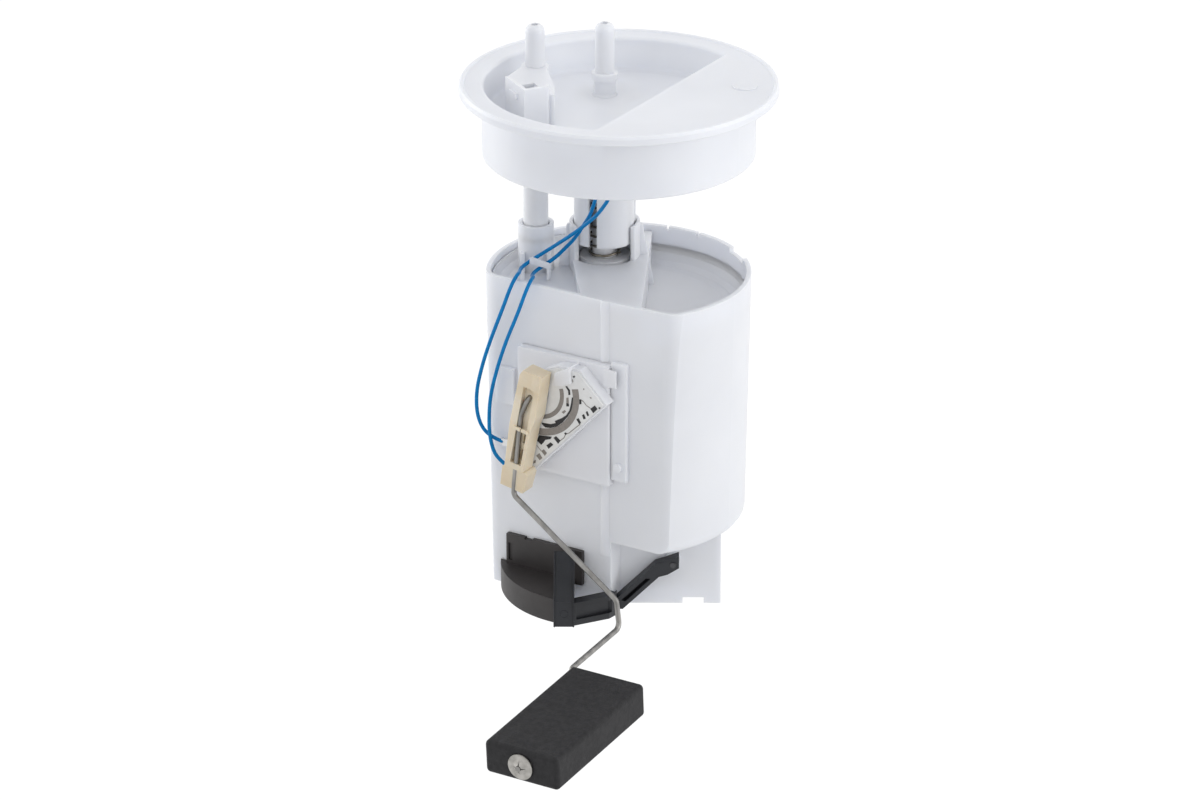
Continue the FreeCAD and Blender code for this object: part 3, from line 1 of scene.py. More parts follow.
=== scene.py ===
"""Looks of the fuel tank sending unit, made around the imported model.

Metres, +Z up, the flat side with the float arm faces -Y. Made here are the leads and their bare
ends, the spring's coil, the card's printed tracks, the star nut, and the raised edges and round
mark of the foot clip's strap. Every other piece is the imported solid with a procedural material.
"""
import bmesh
import bpy
import math
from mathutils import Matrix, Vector


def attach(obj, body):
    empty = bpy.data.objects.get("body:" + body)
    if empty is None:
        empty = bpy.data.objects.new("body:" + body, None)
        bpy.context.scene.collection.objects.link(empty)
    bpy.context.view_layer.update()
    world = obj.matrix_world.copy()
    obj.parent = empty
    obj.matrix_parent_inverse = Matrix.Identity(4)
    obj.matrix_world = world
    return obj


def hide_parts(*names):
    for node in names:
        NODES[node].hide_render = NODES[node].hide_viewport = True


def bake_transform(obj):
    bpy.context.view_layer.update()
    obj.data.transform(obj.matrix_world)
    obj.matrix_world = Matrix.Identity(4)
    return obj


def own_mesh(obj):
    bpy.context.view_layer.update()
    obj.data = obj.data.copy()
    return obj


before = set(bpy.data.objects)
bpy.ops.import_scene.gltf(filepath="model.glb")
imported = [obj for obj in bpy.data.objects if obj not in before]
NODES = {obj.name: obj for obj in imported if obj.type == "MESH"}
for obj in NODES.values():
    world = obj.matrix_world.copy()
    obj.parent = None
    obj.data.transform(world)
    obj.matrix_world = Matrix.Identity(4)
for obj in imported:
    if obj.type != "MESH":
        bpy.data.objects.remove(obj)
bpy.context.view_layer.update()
MM = 0.001

# Camera
CAMERA_AT = (1.029756, -1.740998, 0.735579)
CAMERA_BACK = (0.470417, -0.788437, 0.396327)
CAMERA_LENS = 157.95
CAMERA_SENSOR = 36.0
CAMERA_NEAR = 0.05
CAMERA_FAR = 20.0

# Stage and light. Camera, glossy and transmission rays meet a floor of grey paper with a glow,
# the rest a plain pale one. A lamp has a name, a place in metres, a width and a power.
FLOOR_Z = -0.290
FLOOR_HALF = 3.0
FLOOR_PAPER = 0.22
FLOOR_GLOW = 0.84
FLOOR_UNSEEN = 0.8
WORLD_LIGHT = 0.86
WORLD_TINT = (0.97, 0.98, 1.0)
LAMP_AIM = (0.0, 0.0, -0.1)
LAMPS = (
    ("box_left", (-1.1, -0.15, 0.0), 0.7, 3.9),
    ("box_right", (1.1, 0.2, 0.1), 0.7, 3.5),
    ("box_top", (0.1, 0.2, 1.1), 0.9, 0.6),
)

# Places of a colour ramp's two colours on its source
RAMP_LOW = 0.35
RAMP_HIGH = 0.65

# Leads: control points in millimetres, the same route as the solids'
LEAD_D = 1.6
LEAD_ROUTES = {
    "lead_one_upper": [(-22.4, -28.3, -16.4), (-22.4, -28.3, -24.5), (-11.1, -20.5, -32.0),
                       (-4.9, -7.5, -40.0), (-10.75, -4.0, -54.5), (-14.5, -2.75, -60.0),
                       (-19.6, -2.6, -68.0), (-24.6, -2.9, -73.7), (-28.4, -4.05, -78.0),
                       (-30.4, -5.55, -79.65)],
    "lead_two_upper": [(-25.6, -26.1, -16.4), (-25.6, -26.1, -23.4), (-5.0, -19.2, -31.5),
                       (2.3, -7.9, -41.0), (-5.4, -6.65, -52.6), (-11.2, -6.0, -58.2),
                       (-18.9, -5.6, -65.0), (-27.2, -5.4, -71.6), (-31.1, -5.9, -74.6),
                       (-33.8, -7.7, -76.7)],
    "lead_one_lower": [(-30.4, -5.55, -79.65), (-33.2, -7.65, -81.96), (-33.9, -12.5, -83.0),
                       (-30.8, -18.5, -81.8), (-26.0, -25.0, -78.8), (-22.5, -31.5, -76.0),
                       (-21.6, -37.5, -78.6), (-25.2, -38.8, -90.0), (-31.0, -38.8, -103.5),
                       (-35.6, -38.8, -117.0), (-39.2, -38.8, -131.0), (-39.9, -38.6, -144.0),
                       (-39.0, -38.4, -152.0), (-37.0, -37.0, -158.6), (-32.0, -35.5, -162.2)],
    "lead_two_lower": [(-33.8, -7.7, -76.7), (-36.5, -9.5, -78.8), (-38.2, -14.5, -80.4),
                       (-35.9, -20.0, -80.0), (-32.4, -26.0, -77.9), (-29.5, -31.8, -75.8),
                       (-29.2, -37.5, -78.8), (-32.6, -38.8, -89.5), (-38.2, -38.8, -103.5),
                       (-42.7, -38.8, -116.5), (-46.0, -38.8, -130.0), (-45.6, -38.4, -142.0),
                       (-41.5, -36.4, -149.8), (-34.9, -35.5, -151.0)],
}
LEAD_SIDES = 14
LEAD_ORDER = 3
LEAD_STEPS = 12
LEAD_BEVEL_STEPS = 4

# Guide spring
SPRING_XY = (-17.8, 18.6)
SPRING_TOP_Z = -12.9
SPRING_FOOT_Z = -81.6
SPRING_R = 6.2
SPRING_WIRE_R = 0.52
SPRING_PITCH = 4.3
SPRING_CLOSED_TURNS = 0.8
SPRING_CLOSED_PITCH = 2 * SPRING_WIRE_R * 1.05
SPRING_STEPS = 36
SPRING_SIDES = 12

# Printed tracks on the card: outlines of x, z points, and arcs of inner radius, outer radius
# and the angles of their two ends
CARD_FACE_Y = -42.5
TRACK_T = 0.1
BLACK_TRACK_T = 1.4 * TRACK_T
LINE_TRACK_T = 0.8 * TRACK_T
ARC_CENTRE = (-13.3, -120.5)
ARC_STEPS = 48
GREY_ARCS = ((16.7, 19.75, 14.0, -112.0), (10.55, 12.4, 16.0, -112.0))
GREY_PRINTS = (
    ((1.8, -112.5), (3.2, -111.7), (3.7, -112.7), (3.1, -113.6)),
    ((-2.0, -127.7), (-0.7, -126.5), (0.2, -126.8), (-1.0, -128.2)),
    ((-11.9, -147.4), (-10.7, -146.4), (-9.2, -147.7), (-10.2, -149.3)),
    ((-14.4, -150.1), (-12.9, -148.6), (-11.4, -150.5), (-12.7, -151.8)),
    ((-15.6, -152.7), (-14.6, -152.0), (-14.7, -153.4), (-15.9, -154.1)),
    ((8.3, -114.9), (8.8, -114.7), (8.9, -115.3), (8.4, -115.5)),
    ((11.5, -117.9), (12.5, -118.1), (12.2, -118.6), (11.5, -118.3)),
    ((0.3, -120.8), (1.3, -120.4), (1.45, -123.0), (0.3, -123.0)),
)
BLACK_PRINTS = (
    ((11.8, -123.1), (13.9, -121.2), (15.2, -122.5), (13.2, -124.8)),
    ((15.8, -121.5), (16.6, -121.5), (16.5, -122.2), (15.7, -122.3)),
    ((9.6, -125.1), (10.3, -124.5), (11.2, -126.2), (10.4, -126.8)),
    ((7.8, -126.9), (8.7, -126.2), (9.6, -127.9), (8.6, -128.6)),
    ((5.1, -129.3), (6.1, -128.6), (7.3, -130.4), (6.5, -131.3)),
    ((-0.8, -136.8), (-0.1, -136.4), (0.6, -136.8), (-0.1, -137.6)),
    ((-5.9, -140.1), (-4.7, -139.1), (-2.6, -140.7), (-3.7, -142.3)),
    ((-9.4, -144.3), (-7.4, -142.5), (-6.1, -143.3), (-8.3, -145.6)),
    ((-13.9, -143.2), (-12.9, -140.5), (-6.8, -139.8), (-7.4, -141.0), (-9.9, -141.9), (-10.9, -143.5),
     (-11.9, -144.6)),
    ((3.4, -110.5), (4.1, -110.0), (4.6, -110.5), (3.8, -111.2)),
    ((-0.1, -115.8), (0.6, -115.5), (2.0, -117.0), (2.2, -119.0), (1.3, -119.3), (1.2, -117.5)),
    ((0.3, -123.1), (1.45, -123.1), (1.6, -124.3), (0.3, -124.6)),
    ((-11.1, -126.8), (-10.3, -126.4), (-10.0, -127.0), (-10.7, -127.6)),
    ((6.55, -120.1), (7.4, -119.9), (7.5, -121.9), (6.6, -122.3)),
    ((3.6, -119.9), (3.3, -123.3), (2.7, -125.8), (1.0, -128.9), (-1.5, -132.2), (-4.4, -134.7),
     (-7.4, -136.0), (-9.9, -136.3), (-11.1, -135.6), (-11.8, -134.6), (-10.8, -134.5), (-7.4, -134.3),
     (-4.8, -133.2), (-5.3, -132.4), (-2.0, -130.4), (0.2, -128.6), (1.8, -126.0), (2.4, -123.5),
     (3.0, -120.0)),
)
PRINT_LINES = (
    ((6.9, -131.1), (1.5, -136.3), (-0.1, -137.2), (-0.9, -139.0), (-3.0, -141.0)),
    ((-14.1, -145.4), (-11.9, -147.5)),
    ((7.4, -120.2), (8.4, -120.6), (9.9, -122.1), (11.8, -122.9)),
)
PRINT_LINE_W = 0.35

# Star nut on the wire's end, drawn about the wire's axis
NUT_AT = (52.7, -130.3, -220.5)
NUT_TILT = 3.9
NUT_R = 5.6
NUT_HOLE_R = 1.25
NUT_FACE_Y = -34.5
NUT_SHEET = 0.5
NUT_TOOTH_R = 3.3
NUT_TEETH = 4
NUT_TOOTH_STEPS = 8
NUT_TOOTH_RISE = 1.1
NUT_SLIT_R = 0.92 * NUT_TOOTH_R
NUT_RING_R = 0.75 * NUT_R
NUT_DISH = 0.35

# Bare ends of the lower leads on the terminals
BARE_R = 0.45
BARE_SIDES = 10
BARE_ENDS = {
    "bare_end_one": [(-32.6, -35.6, -161.9), (-31.2, -35.4, -162.1), (-29.6, -35.5, -162.0)],
    "bare_end_two": [(-35.6, -35.6, -150.8), (-34.0, -35.4, -151.0), (-32.4, -35.5, -151.0)],
}

# The foot clip's own axes against the part's, and its strap's raised edges and round mark.
# An edge's section is its points' places across the edge and their lifts, as shares.
CLIP_TURN = 30.5
STRAP_EDGE_X = (-26.45, -18.45)
STRAP_EDGE_W = 0.7
STRAP_EDGE_LINE = ((-52.3, -217.7), (-52.3, -206.4), (-30.3, -193.3))
STRAP_EDGE_H = 0.5
STRAP_EDGE_SINK = 0.2
STRAP_EDGE_SECTION = ((-0.5, 0.0), (-0.3, 1.0), (0.3, 1.0), (0.5, 0.0))
STRAP_MARK = (-22.4, -212.0)
STRAP_MARK_R = 1.7
STRAP_MARK_WIRE_R = 0.18
STRAP_MARK_STEPS = 32
STRAP_MARK_SIDES = 6


def show(thing):
    """Puts an object in the scene."""
    bpy.context.scene.collection.objects.link(thing)


def lead_spline(name, bevel):
    """The lead's curve on its route's control points, round if asked and a bare line if not."""
    points = [Vector(p) * MM for p in LEAD_ROUTES[name]]
    curve = bpy.data.curves.new(name + "_line", "CURVE")
    curve.dimensions = "3D"
    curve.resolution_u = LEAD_STEPS
    spline = curve.splines.new("NURBS")
    spline.points.add(len(points) - 1)
    for control, place in zip(spline.points, points):
        control.co = (place.x, place.y, place.z, 1.0)
    spline.order_u = LEAD_ORDER
    spline.use_endpoint_u = True
    if bevel:
        curve.bevel_depth = LEAD_D * MM / 2
        curve.bevel_resolution = LEAD_BEVEL_STEPS
        curve.use_fill_caps = True
    return curve


def spline_points(curve):
    """The points that a curve with no bevel passes through."""
    holder = bpy.data.objects.new("line_holder", curve)
    show(holder)
    bpy.context.view_layer.update()
    mesh = bpy.data.meshes.new_from_object(holder)
    line = [v.co.copy() for v in mesh.vertices]
    bpy.data.objects.remove(holder)
    return line


def add_mesh(name, mesh, material):
    """A mesh object in the scene with its material."""
    piece = bpy.data.objects.new(name, mesh)
    show(piece)
    mesh.materials.append(material)
    return piece


def bridge(shape, low, high, smooth=False):
    """Faces between two closed rows with the same number of points."""
    count = len(low)
    for k in range(count):
        n = (k + 1) % count
        face = shape.faces.new((low[k], low[n], high[n], high[k]))
        face.smooth = smooth


def mesh_of(name, shape):
    """The finished mesh of a shape, which is then let go."""
    mesh = bpy.data.meshes.new(name)
    shape.to_mesh(mesh)
    shape.free()
    return mesh


def outward_mesh(name, shape):
    """The finished mesh of a shape, with every face turned outward."""
    bmesh.ops.recalc_face_normals(shape, faces=shape.faces)
    return mesh_of(name, shape)


def tube_mesh(name, line, radius, sides):
    """A round tube along a line of points, closed at both ends."""
    shape = bmesh.new()
    rings = []
    side = Vector((1.0, 0.0, 0.0))
    for i, point in enumerate(line):
        before = line[max(i - 1, 0)]
        after = line[min(i + 1, len(line) - 1)]
        ahead = (after - before).normalized()
        side = (side - ahead * side.dot(ahead)).normalized()
        up = ahead.cross(side)
        ring = []
        for k in range(sides):
            turn = 2 * math.pi * k / sides
            out = side * math.cos(turn) + up * math.sin(turn)
            ring.append(shape.verts.new(point + out * radius))
        rings.append(ring)
    for low, high in zip(rings, rings[1:]):
        bridge(shape, low, high, smooth=True)
    shape.faces.new(list(reversed(rings[0])))
    shape.faces.new(rings[-1])
    return mesh_of(name, shape)


def add_leads(blue):
    """The four lead pieces: the upper two run between flange and pot and stay where they are, the
    lower two ride the pot.
    """
    for name, route in LEAD_ROUTES.items():
        line = spline_points(lead_spline(name, False))
        if name.endswith("upper"):
            mesh = tube_mesh(name + "_flex", line, LEAD_D * MM / 2, LEAD_SIDES)
            piece = add_mesh(name + "_flex", mesh, blue)
            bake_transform(piece)
            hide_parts(name)
        else:
            curve = lead_spline(name, True)
            curve.materials.append(blue)
            piece = bpy.data.objects.new(name + "_flex", curve)
            show(piece)
            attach(piece, "pot")
            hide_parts(name)


def add_camera():
    """The camera at the photograph's place."""
    data = bpy.data.cameras.new("camera")
    data.lens = CAMERA_LENS
    data.sensor_width = CAMERA_SENSOR
    data.clip_start = CAMERA_NEAR
    data.clip_end = CAMERA_FAR
    camera = bpy.data.objects.new("camera", data)
    camera.location = CAMERA_AT
    camera.rotation_mode = "QUATERNION"
    camera.rotation_quaternion = (-Vector(CAMERA_BACK)).to_track_quat("-Z", "Y")
    show(camera)
    bpy.context.scene.camera = camera


class Shader:
    """One material's nodes: a Principled shader and short calls to wire it."""

    def __init__(self, name, colour, rough, metal=0.0):
        self.material = bpy.data.materials.new(name)
        self.material.use_nodes = True
        self.tree = self.material.node_tree
        self.main = self.tree.nodes["Principled BSDF"]
        self.place = self.add("ShaderNodeTexCoord").outputs["Object"]
        self.set("Base Color", colour + (1.0,))
        self.set("Roughness", rough)
        self.set("Metallic", metal)

    def add(self, kind):
        """A new node."""
        return self.tree.nodes.new(kind)

    def set(self, socket, value):
        """A value on the main shader's own socket."""
        self.main.inputs[socket].default_value = value

    def link(self, start, end):
        """One link."""
        self.tree.links.new(start, end)

    def noise(self, scale, detail=3.0, stretch=None):
        """A noise over the object's own metres, stretched along an axis if asked."""
        source = self.place
        if stretch:
            mapping = self.add("ShaderNodeMapping")
            mapping.inputs["Scale"].default_value = stretch
            self.link(source, mapping.inputs["Vector"])
            source = mapping.outputs["Vector"]
        node = self.add("ShaderNodeTexNoise")
        node.inputs["Scale"].default_value = scale
        node.inputs["Detail"].default_value = detail
        self.link(source, node.inputs["Vector"])
        return node.outputs["Fac"]

    def vary_colour(self, scale, low, high, detail=3.0, stretch=None):
        """The base colour drifts between two near colours over the noise's middle range."""
        source = self.noise(scale, detail, stretch)
        node = self.add("ShaderNodeValToRGB")
        stops = node.color_ramp.elements
        for stop, at, colour in zip(stops, (RAMP_LOW, RAMP_HIGH), (low, high)):
            stop.position = at
            stop.color = colour + (1.0,)
        self.link(source, node.inputs["Fac"])
        self.link(node.outputs["Color"], self.main.inputs["Base Color"])

    def vary_rough(self, scale, low, high):
        """The roughness drifts between two values."""
        node = self.add("ShaderNodeMapRange")
        node.inputs["To Min"].default_value = low
        node.inputs["To Max"].default_value = high
        self.link(self.noise(scale), node.inputs["Value"])
        self.link(node.outputs["Result"], self.main.inputs["Roughness"])

    def bump(self, height, strength, distance):
        """Fine relief from a height source."""
        node = self.add("ShaderNodeBump")
        node.inputs["Strength"].default_value = strength
        node.inputs["Distance"].default_value = distance
        self.link(height, node.inputs["Height"])
        self.link(node.outputs["Normal"], self.main.inputs["Normal"])


def white_plastic(name, low, high, subsurface):
    """Natural white acetal: milky, slightly glossy, with faint flow clouds."""
    shader = Shader(name, high, 0.38)
    shader.vary_colour(18.0, low, high, 4.0)
    shader.vary_rough(60.0, 0.33, 0.45)
    shader.set("Subsurface Weight", subsurface)
    shader.set("Subsurface Radius", (1.0, 1.02, 1.06))
    shader.set("Subsurface Scale", 0.002)
    shader.set("IOR", 1.48)
    shader.bump(shader.noise(900.0, 5.0), 0.05, 0.0001)
    return shader.material


def black_plastic(name, low, high, rough):
    """Moulded black plastic with a fine eroded grain."""
    shader = Shader(name, low, rough)
    shader.vary_colour(45.0, low, high, 5.0)
    shader.vary_rough(150.0, rough - 0.06, rough + 0.1)
    shader.bump(shader.noise(1600.0, 6.0), 0.25, 0.0002)
    return shader.material


def float_foam():
    """Closed-cell nitrile foam: tiny skinned cells."""
    shader = Shader("float_foam", (0.02, 0.019, 0.02), 0.62)
    cells = shader.add("ShaderNodeTexVoronoi")
    cells.inputs["Scale"].default_value = 1500.0
    shader.link(shader.place, cells.inputs["Vector"])
    shader.vary_colour(420.0, (0.008, 0.0078, 0.009), (0.017, 0.0165, 0.018), 4.0)
    shader.set("Specular IOR Level", 0.35)
    shader.vary_rough(90.0, 0.55, 0.7)
    shader.bump(cells.outputs["Distance"], 0.35, 0.0002)
    return shader.material


def metal(name, low, high, rough, stretch=None):
    """Bare metal with drawing lines along one axis."""
    shader = Shader(name, high, rough, 1.0)
    shader.vary_colour(300.0, low, high, 4.0, stretch)
    shader.vary_rough(400.0, rough - 0.08, rough + 0.12)
    shader.bump(shader.noise(2500.0, 3.0, stretch), 0.15, 0.00005)
    return shader.material


def cream_plastic():
    """Cream acetal of the carrier, a little darker in patches."""
    shader = Shader("cream_plastic", (0.76, 0.66, 0.50), 0.42)
    shader.vary_colour(70.0, (0.70, 0.59, 0.42), (0.80, 0.71, 0.56), 4.0)
    shader.vary_rough(120.0, 0.36, 0.5)
    shader.set("Subsurface Weight", 0.3)
    shader.set("Subsurface Radius", (1.0, 0.8, 0.5))
    shader.set("Subsurface Scale", 0.0015)
    shader.bump(shader.noise(1400.0, 4.0), 0.08, 0.0001)
    return shader.material


def card_ceramic():
    """White fired ceramic of the card."""
    shader = Shader("card_ceramic", (0.80, 0.80, 0.79), 0.55)
    shader.vary_colour(200.0, (0.76, 0.76, 0.75), (0.83, 0.83, 0.82), 5.0)
    shader.vary_rough(300.0, 0.5, 0.62)
    shader.bump(shader.noise(3000.0, 4.0), 0.12, 0.00005)
    return shader.material


def track_paste(name, low, high):
    """Printed and fired track paste, slightly grainy."""
    shader = Shader(name, low, 0.5)
    shader.vary_colour(900.0, low, high, 4.0)
    shader.vary_rough(700.0, 0.42, 0.6)
    shader.bump(shader.noise(4000.0, 3.0), 0.2, 0.00004)
    return shader.material


def lead_insulation():
    """Blue extruded insulation with a soft sheen."""
    shader = Shader("lead_insulation", (0.001, 0.19, 0.48), 0.42)
    shader.vary_colour(500.0, (0.001, 0.175, 0.45), (0.002, 0.21, 0.52), 3.0)
    shader.set("Specular IOR Level", 0.15)
    shader.vary_rough(800.0, 0.3, 0.45)
    shader.bump(shader.noise(2600.0, 3.0), 0.1, 0.00004)
    return shader.material


def filter_mesh():
    """Woven filter cloth."""
    shader = Shader("filter_mesh", (0.6, 0.6, 0.57), 0.8)
    shader.vary_colour(300.0, (0.5, 0.5, 0.47), (0.66, 0.66, 0.62), 3.0)
    shader.vary_rough(300.0, 0.7, 0.9)
    waves = shader.add("ShaderNodeTexWave")
    waves.inputs["Scale"].default_value = 900.0
    shader.link(shader.place, waves.inputs["Vector"])
    shader.bump(waves.outputs["Fac"], 0.4, 0.0002)
    return shader.material


def dress(material, *names):
    """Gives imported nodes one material."""
    for name in names:
        mesh = NODES[name].data
        mesh.materials.clear()
        mesh.materials.append(material)


def spring_line():
    """The coil's centre line: closed turns at both ends, even pitch between them."""
    closed = SPRING_CLOSED_PITCH * SPRING_CLOSED_TURNS
    open_height = (SPRING_TOP_Z - SPRING_FOOT_Z) - 2 * closed - 2 * SPRING_WIRE_R
    turns = 2 * SPRING_CLOSED_TURNS + open_height / SPRING_PITCH
    count = int(turns * SPRING_STEPS)
    line = []
    z = SPRING_TOP_Z - SPRING_WIRE_R
    for i in range(count + 1):
        turn = i / SPRING_STEPS
        line.append(Vector((SPRING_XY[0] + SPRING_R * math.cos(2 * math.pi * turn),
                            SPRING_XY[1] - SPRING_R * math.sin(2 * math.pi * turn), z)) * MM)
        near_end = min(turn, turns - turn) < SPRING_CLOSED_TURNS
        z -= (SPRING_CLOSED_PITCH if near_end else SPRING_PITCH) / SPRING_STEPS
    return line


def add_spring(steel):
    """The coil that stands for the spring's sleeve, carried by the flange."""
    mesh = tube_mesh("guide_coil", spring_line(), SPRING_WIRE_R * MM, SPRING_SIDES)
    coil = add_mesh("guide_coil", mesh, steel)
    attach(coil, "flange")
    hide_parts("guide_spring")
    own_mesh(coil)


def arc_points(radius, turns):
    """Points of the card's arcs at one radius."""
    return [(ARC_CENTRE[0] + radius * math.cos(a), ARC_CENTRE[1] + radius * math.sin(a))
            for a in turns]


def arc_outline(inner, outer, first, last):
    """Closed outline of an arc band on the card, with its ends at two angles in degrees."""
    turns = [math.radians(first + (last - first) * i / ARC_STEPS) for i in range(ARC_STEPS + 1)]
    return arc_points(outer, turns) + arc_points(inner, reversed(turns))


def line_outlines(points, width):
    """Closed outlines of straight strips along a line of x, z points."""
    strips = []
    for (ax, az), (bx, bz) in zip(points, points[1:]):
        length = math.hypot(bx - ax, bz - az)
        nx = -(bz - az) / length * width / 2
        nz = (bx - ax) / length * width / 2
        strips.append(((ax + nx, az + nz), (bx + nx, bz + nz),
                       (bx - nx, bz - nz), (ax - nx, az - nz)))
    return strips


def flat_mesh(name, outlines, thick):
    """Thin raised prints on the card's face from closed outlines of x, z points in millimetres."""
    shape = bmesh.new()
    for outline in outlines:
        back = [shape.verts.new(Vector((x, CARD_FACE_Y, z)) * MM) for x, z in outline]
        front = [shape.verts.new(Vector((x, CARD_FACE_Y - thick, z)) * MM) for x, z in outline]
        shape.faces.new(front)
        shape.faces.new(list(reversed(back)))
        bridge(shape, front, back)
    return outward_mesh(name, shape)


def add_tracks():
    """The card's printed arcs, pads and lines."""
    grey = track_paste("track_grey", (0.235, 0.215, 0.195), (0.275, 0.25, 0.23))
    black = track_paste("track_black", (0.008, 0.008, 0.010), (0.016, 0.016, 0.018))
    lines = [strip for points in PRINT_LINES for strip in line_outlines(points, PRINT_LINE_W)]
    arcs = [arc_outline(*arc) for arc in GREY_ARCS]
    sets = (("card_arcs", arcs, grey, TRACK_T),
            ("card_grey_pads", GREY_PRINTS, grey, TRACK_T),
            ("card_black_pads", BLACK_PRINTS, black, BLACK_TRACK_T),
            ("card_lines", lines, grey, LINE_TRACK_T))
    for name, outlines, material, thick in sets:
        piece = add_mesh(name, flat_mesh(name, outlines, thick), material)
        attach(piece, "pot")


def nut_mesh(name):
    """A dished disc with four bent-up teeth that grip the wire, about the Y axis."""
    shape = bmesh.new()
    sectors = NUT_TOOTH_STEPS * NUT_TEETH
    radii = (NUT_HOLE_R, NUT_TOOTH_R, NUT_RING_R, NUT_R)
    sides = []
    for side in (0.0, NUT_SHEET):
        grid = []
        for radius in radii:
            row = []
            for k in range(sectors):
                rise = NUT_DISH * (1.0 - radius / NUT_R)
                reach = radius
                if radius < NUT_TOOTH_R and k % NUT_TOOTH_STEPS == 0:
                    reach = NUT_SLIT_R
                elif radius < NUT_TOOTH_R:
                    rise += NUT_TOOTH_RISE
                turn = 2 * math.pi * k / sectors
                at = Vector((reach * math.cos(turn), NUT_FACE_Y - side - rise, reach * math.sin(turn)))
                row.append(shape.verts.new(at * MM))
            grid.append(row)
        sides.append(grid)
    for grid in sides:
        for low, high in zip(grid, grid[1:]):
            bridge(shape, low, high)
    for row in (0, len(radii) - 1):
        bridge(shape, sides[0][row], sides[1][row])
    return outward_mesh(name, shape)


def add_nut(steel):
    """The star nut at the wire's end, which turns with the arm."""
    nut = add_mesh("star_nut", nut_mesh("star_nut"), steel)
    nut.location = Vector(NUT_AT) * MM
    nut.rotation_euler = (math.radians(NUT_TILT), 0, 0)
    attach(nut, "arm")
    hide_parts("stop_nut")


def add_bare_ends(tinned):
    """The leads' stripped ends, soldered on the terminals."""
    for name, points in BARE_ENDS.items():
        line = [Vector(p) * MM for p in points]
        end = add_mesh(name, tube_mesh(name, line, BARE_R * MM, BARE_SIDES), tinned)
        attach(end, "pot")


def clip_place(x, y, z):
    """A point in the clip's own axes, in the part's metres."""
    turn = math.radians(CLIP_TURN)
    return Vector((x * math.cos(turn) - y * math.sin(turn),
                   x * math.sin(turn) + y * math.cos(turn), z)) * MM


def strap_edge_mesh(name, x):
    """A low bead along one edge of the strap, from the base up to the plate."""
    shape = bmesh.new()
    rows = []
    for i, (y, z) in enumerate(STRAP_EDGE_LINE):
        rise = 0.0 if i == 0 else STRAP_EDGE_H
        row = []
        for dx, lift in STRAP_EDGE_SECTION:
            at_y = y - lift * STRAP_EDGE_H + STRAP_EDGE_SINK * (1 - lift)
            row.append(shape.verts.new(clip_place(x + dx * STRAP_EDGE_W, at_y, z + lift * rise)))
        rows.append(row)
    for low, high in zip(rows, rows[1:]):
        bridge(shape, low, high)
    shape.faces.new(rows[0])
    shape.faces.new(list(reversed(rows[-1])))
    return outward_mesh(name, shape)


def add_strap_details(black):
    """The strap's raised edges and the round mark of its mould's pin."""
    for i, x in enumerate(STRAP_EDGE_X):
        name = "strap_edge_%d" % (i + 1)
        edge = add_mesh(name, strap_edge_mesh(name, x), black)
        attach(edge, "pot")
    ring = []
    for k in range(STRAP_MARK_STEPS + 1):
        turn = 2 * math.pi * k / STRAP_MARK_STEPS
        ring.append(clip_place(STRAP_MARK[0] + STRAP_MARK_R * math.cos(turn), STRAP_EDGE_LINE[0][0],
                               STRAP_MARK[1] + STRAP_MARK_R * math.sin(turn)))
    mesh = tube_mesh("strap_mark", ring, STRAP_MARK_WIRE_R * MM, STRAP_MARK_SIDES)
    mark = add_mesh("strap_mark", mesh, black)
    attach(mark, "pot")


def add_stage():
    """The pale floor under the part."""
    mesh = bpy.data.meshes.new("floor")
    h = FLOOR_HALF
    corners = [(-h, -h, FLOOR_Z), (h, -h, FLOOR_Z), (h, h, FLOOR_Z), (-h, h, FLOOR_Z)]
    mesh.from_pydata(corners, [], [(0, 1, 2, 3)])
    material = bpy.data.materials.new("floor_paper")
    material.use_nodes = True
    tree = material.node_tree
    nodes = tree.nodes
    nodes.clear()
    output = nodes.new("ShaderNodeOutputMaterial")
    paper = nodes.new("ShaderNodeBsdfDiffuse")
    paper.inputs["Color"].default_value = (FLOOR_PAPER, FLOOR_PAPER, FLOOR_PAPER, 1.0)
    glow = nodes.new("ShaderNodeEmission")
    glow.inputs["Strength"].default_value = FLOOR_GLOW
    both = nodes.new("ShaderNodeAddShader")
    plain = nodes.new("ShaderNodeBsdfDiffuse")
    plain.inputs["Color"].default_value = (FLOOR_UNSEEN, FLOOR_UNSEEN, FLOOR_UNSEEN, 1.0)
    choose = nodes.new("ShaderNodeMixShader")
    tree.links.new(paper.outputs["BSDF"], both.inputs[0])
    tree.links.new(glow.outputs["Emission"], both.inputs[1])
    tree.links.new(seen_rays(tree), choose.inputs["Fac"])
    tree.links.new(plain.outputs["BSDF"], choose.inputs[1])
    tree.links.new(both.outputs["Shader"], choose.inputs[2])
    tree.links.new(choose.outputs["Shader"], output.inputs["Surface"])
    mesh.materials.append(material)
    floor = bpy.data.objects.new("floor", mesh)
    show(floor)


def seen_rays(tree):
    """1 for camera, glossy and transmission rays, 0 for the rest."""
    path = tree.nodes.new("ShaderNodeLightPath")
    total = path.outputs["Is Camera Ray"]
    for name in ("Is Glossy Ray", "Is Transmission Ray"):
        larger = tree.nodes.new("ShaderNodeMath")
        larger.operation = "MAXIMUM"
        tree.links.new(total, larger.inputs[0])
        tree.links.new(path.outputs[name], larger.inputs[1])
        total = larger.outputs[0]
    return total


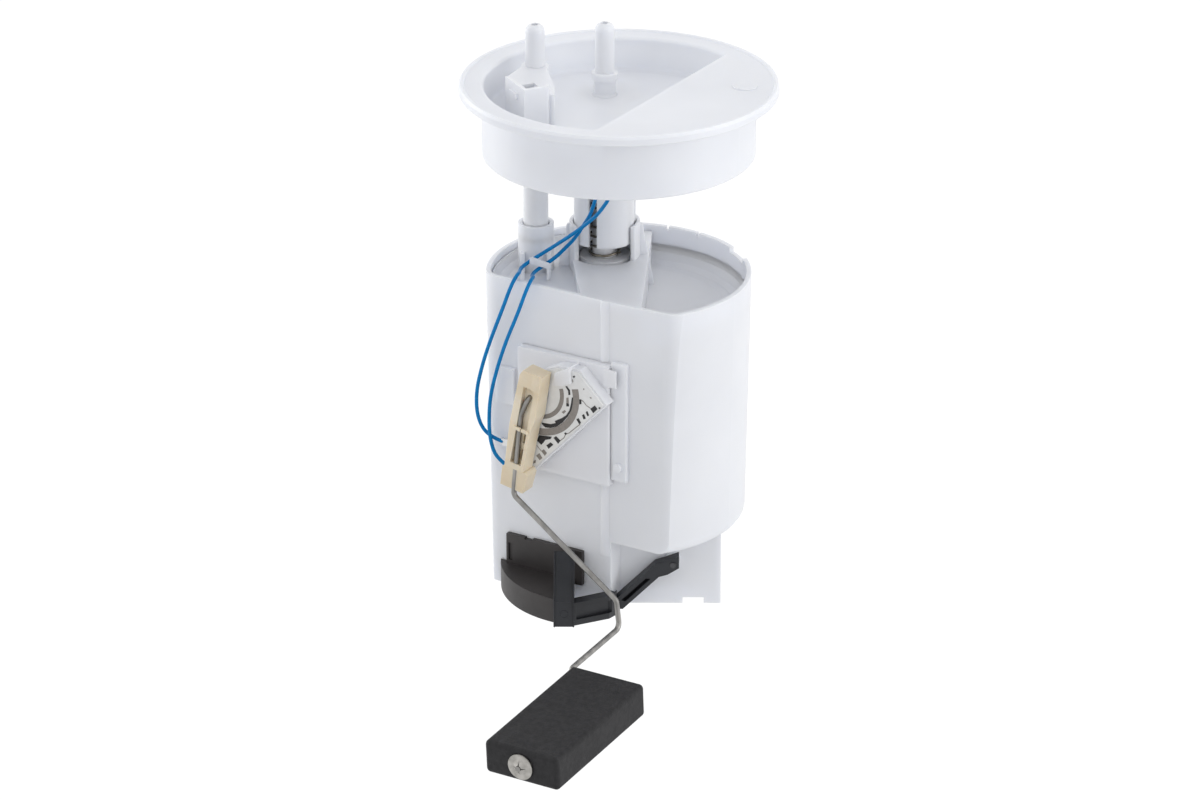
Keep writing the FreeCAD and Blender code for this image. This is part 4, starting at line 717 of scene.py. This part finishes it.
def add_world():
    """White to the camera, a plain soft light to the object."""
    world = bpy.data.worlds.new("studio")
    bpy.context.scene.world = world
    world.use_nodes = True
    tree = world.node_tree
    tree.nodes.clear()
    output = tree.nodes.new("ShaderNodeOutputWorld")
    light = tree.nodes.new("ShaderNodeBackground")
    light.inputs["Color"].default_value = WORLD_TINT + (1.0,)
    light.inputs["Strength"].default_value = WORLD_LIGHT
    white = tree.nodes.new("ShaderNodeBackground")
    white.inputs["Color"].default_value = (1.0, 1.0, 1.0, 1.0)
    white.inputs["Strength"].default_value = 1.0
    choose = tree.nodes.new("ShaderNodeMixShader")
    tree.links.new(seen_rays(tree), choose.inputs["Fac"])
    tree.links.new(light.outputs["Background"], choose.inputs[1])
    tree.links.new(white.outputs["Background"], choose.inputs[2])
    tree.links.new(choose.outputs["Shader"], output.inputs["Surface"])


def add_lamp(name, place, size, power):
    """A square soft box that looks at the part."""
    data = bpy.data.lights.new(name, "AREA")
    data.shape = "SQUARE"
    data.size = size
    data.energy = power
    lamp = bpy.data.objects.new(name, data)
    lamp.location = place
    lamp.rotation_mode = "QUATERNION"
    lamp.rotation_quaternion = (Vector(LAMP_AIM) - Vector(place)).to_track_quat("-Z", "Y")
    show(lamp)


def add_lights():
    """A soft box at each side and a weak one above."""
    for lamp in LAMPS:
        add_lamp(*lamp)


def set_view():
    """The plain view transform."""
    bpy.context.scene.view_settings.view_transform = "Standard"


def dress_nodes():
    """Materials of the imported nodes, and the small pieces made of the same materials."""
    flange = white_plastic("white_flange", (0.80, 0.81, 0.84), (0.84, 0.85, 0.88), 0.9)
    pot = white_plastic("white_pot", (0.79, 0.80, 0.83), (0.83, 0.84, 0.87), 0.9)
    small = white_plastic("white_small", (0.78, 0.785, 0.81), (0.82, 0.825, 0.85), 0.6)
    dress(flange, "flange_cover", "guide_rod", "return_pipe")
    dress(pot, "reservoir_pot", "reservoir_lid", "guide_tube", "outlet_pipe")
    dress(small, "sender_bracket", "lead_clip")
    dress(card_ceramic(), "resistor_card")
    dress(cream_plastic(), "wiper_carrier")
    foot = black_plastic("black_foot", (0.022, 0.019, 0.019), (0.038, 0.033, 0.032), 0.5)
    strap = black_plastic("black_strap", (0.006, 0.007, 0.010), (0.014, 0.016, 0.021), 0.42)
    inner = black_plastic("black_inner", (0.02, 0.02, 0.02), (0.04, 0.04, 0.04), 0.5)
    rubber = black_plastic("black_rubber", (0.015, 0.015, 0.015), (0.03, 0.03, 0.03), 0.7)
    dress(foot, "strainer_foot")
    dress(strap, "foot_clip")
    dress(inner, "pump_cap", "pump_inlet")
    dress(rubber, "pump_sleeve", "socket_seal", "foot_valve")
    dress(float_foam(), "float_block")
    wire_steel = metal("wire_steel", (0.24, 0.235, 0.225), (0.36, 0.35, 0.335), 0.36, (1.0, 1.0, 0.2))
    dress(wire_steel, "float_wire")
    spring_steel = metal("spring_steel", (0.20, 0.175, 0.14), (0.34, 0.31, 0.25), 0.36)
    nut_steel = metal("nut_steel", (0.32, 0.31, 0.29), (0.47, 0.455, 0.43), 0.42)
    dress(spring_steel, "guide_ring")
    dress(metal("pin_steel", (0.05, 0.05, 0.055), (0.10, 0.10, 0.105), 0.4), "foot_pin")
    pump_steel = metal("pump_steel", (0.5, 0.5, 0.5), (0.62, 0.62, 0.62), 0.35, (1.0, 1.0, 0.1))
    dress(pump_steel, "pump_body")
    tinned = metal("tinned_metal", (0.55, 0.55, 0.55), (0.7, 0.7, 0.7), 0.3)
    dress(tinned, "connector_pins", "lead_terminals", "wiper_contacts")
    dress(filter_mesh(), "pump_strainer")
    add_spring(spring_steel)
    add_nut(nut_steel)
    add_bare_ends(tinned)
    add_tracks()
    add_strap_details(strap)


def main():
    """Camera and leads first, then the pieces and materials, then light."""
    add_camera()
    add_leads(lead_insulation())
    dress_nodes()
    add_stage()
    add_world()
    add_lights()
    set_view()


main()
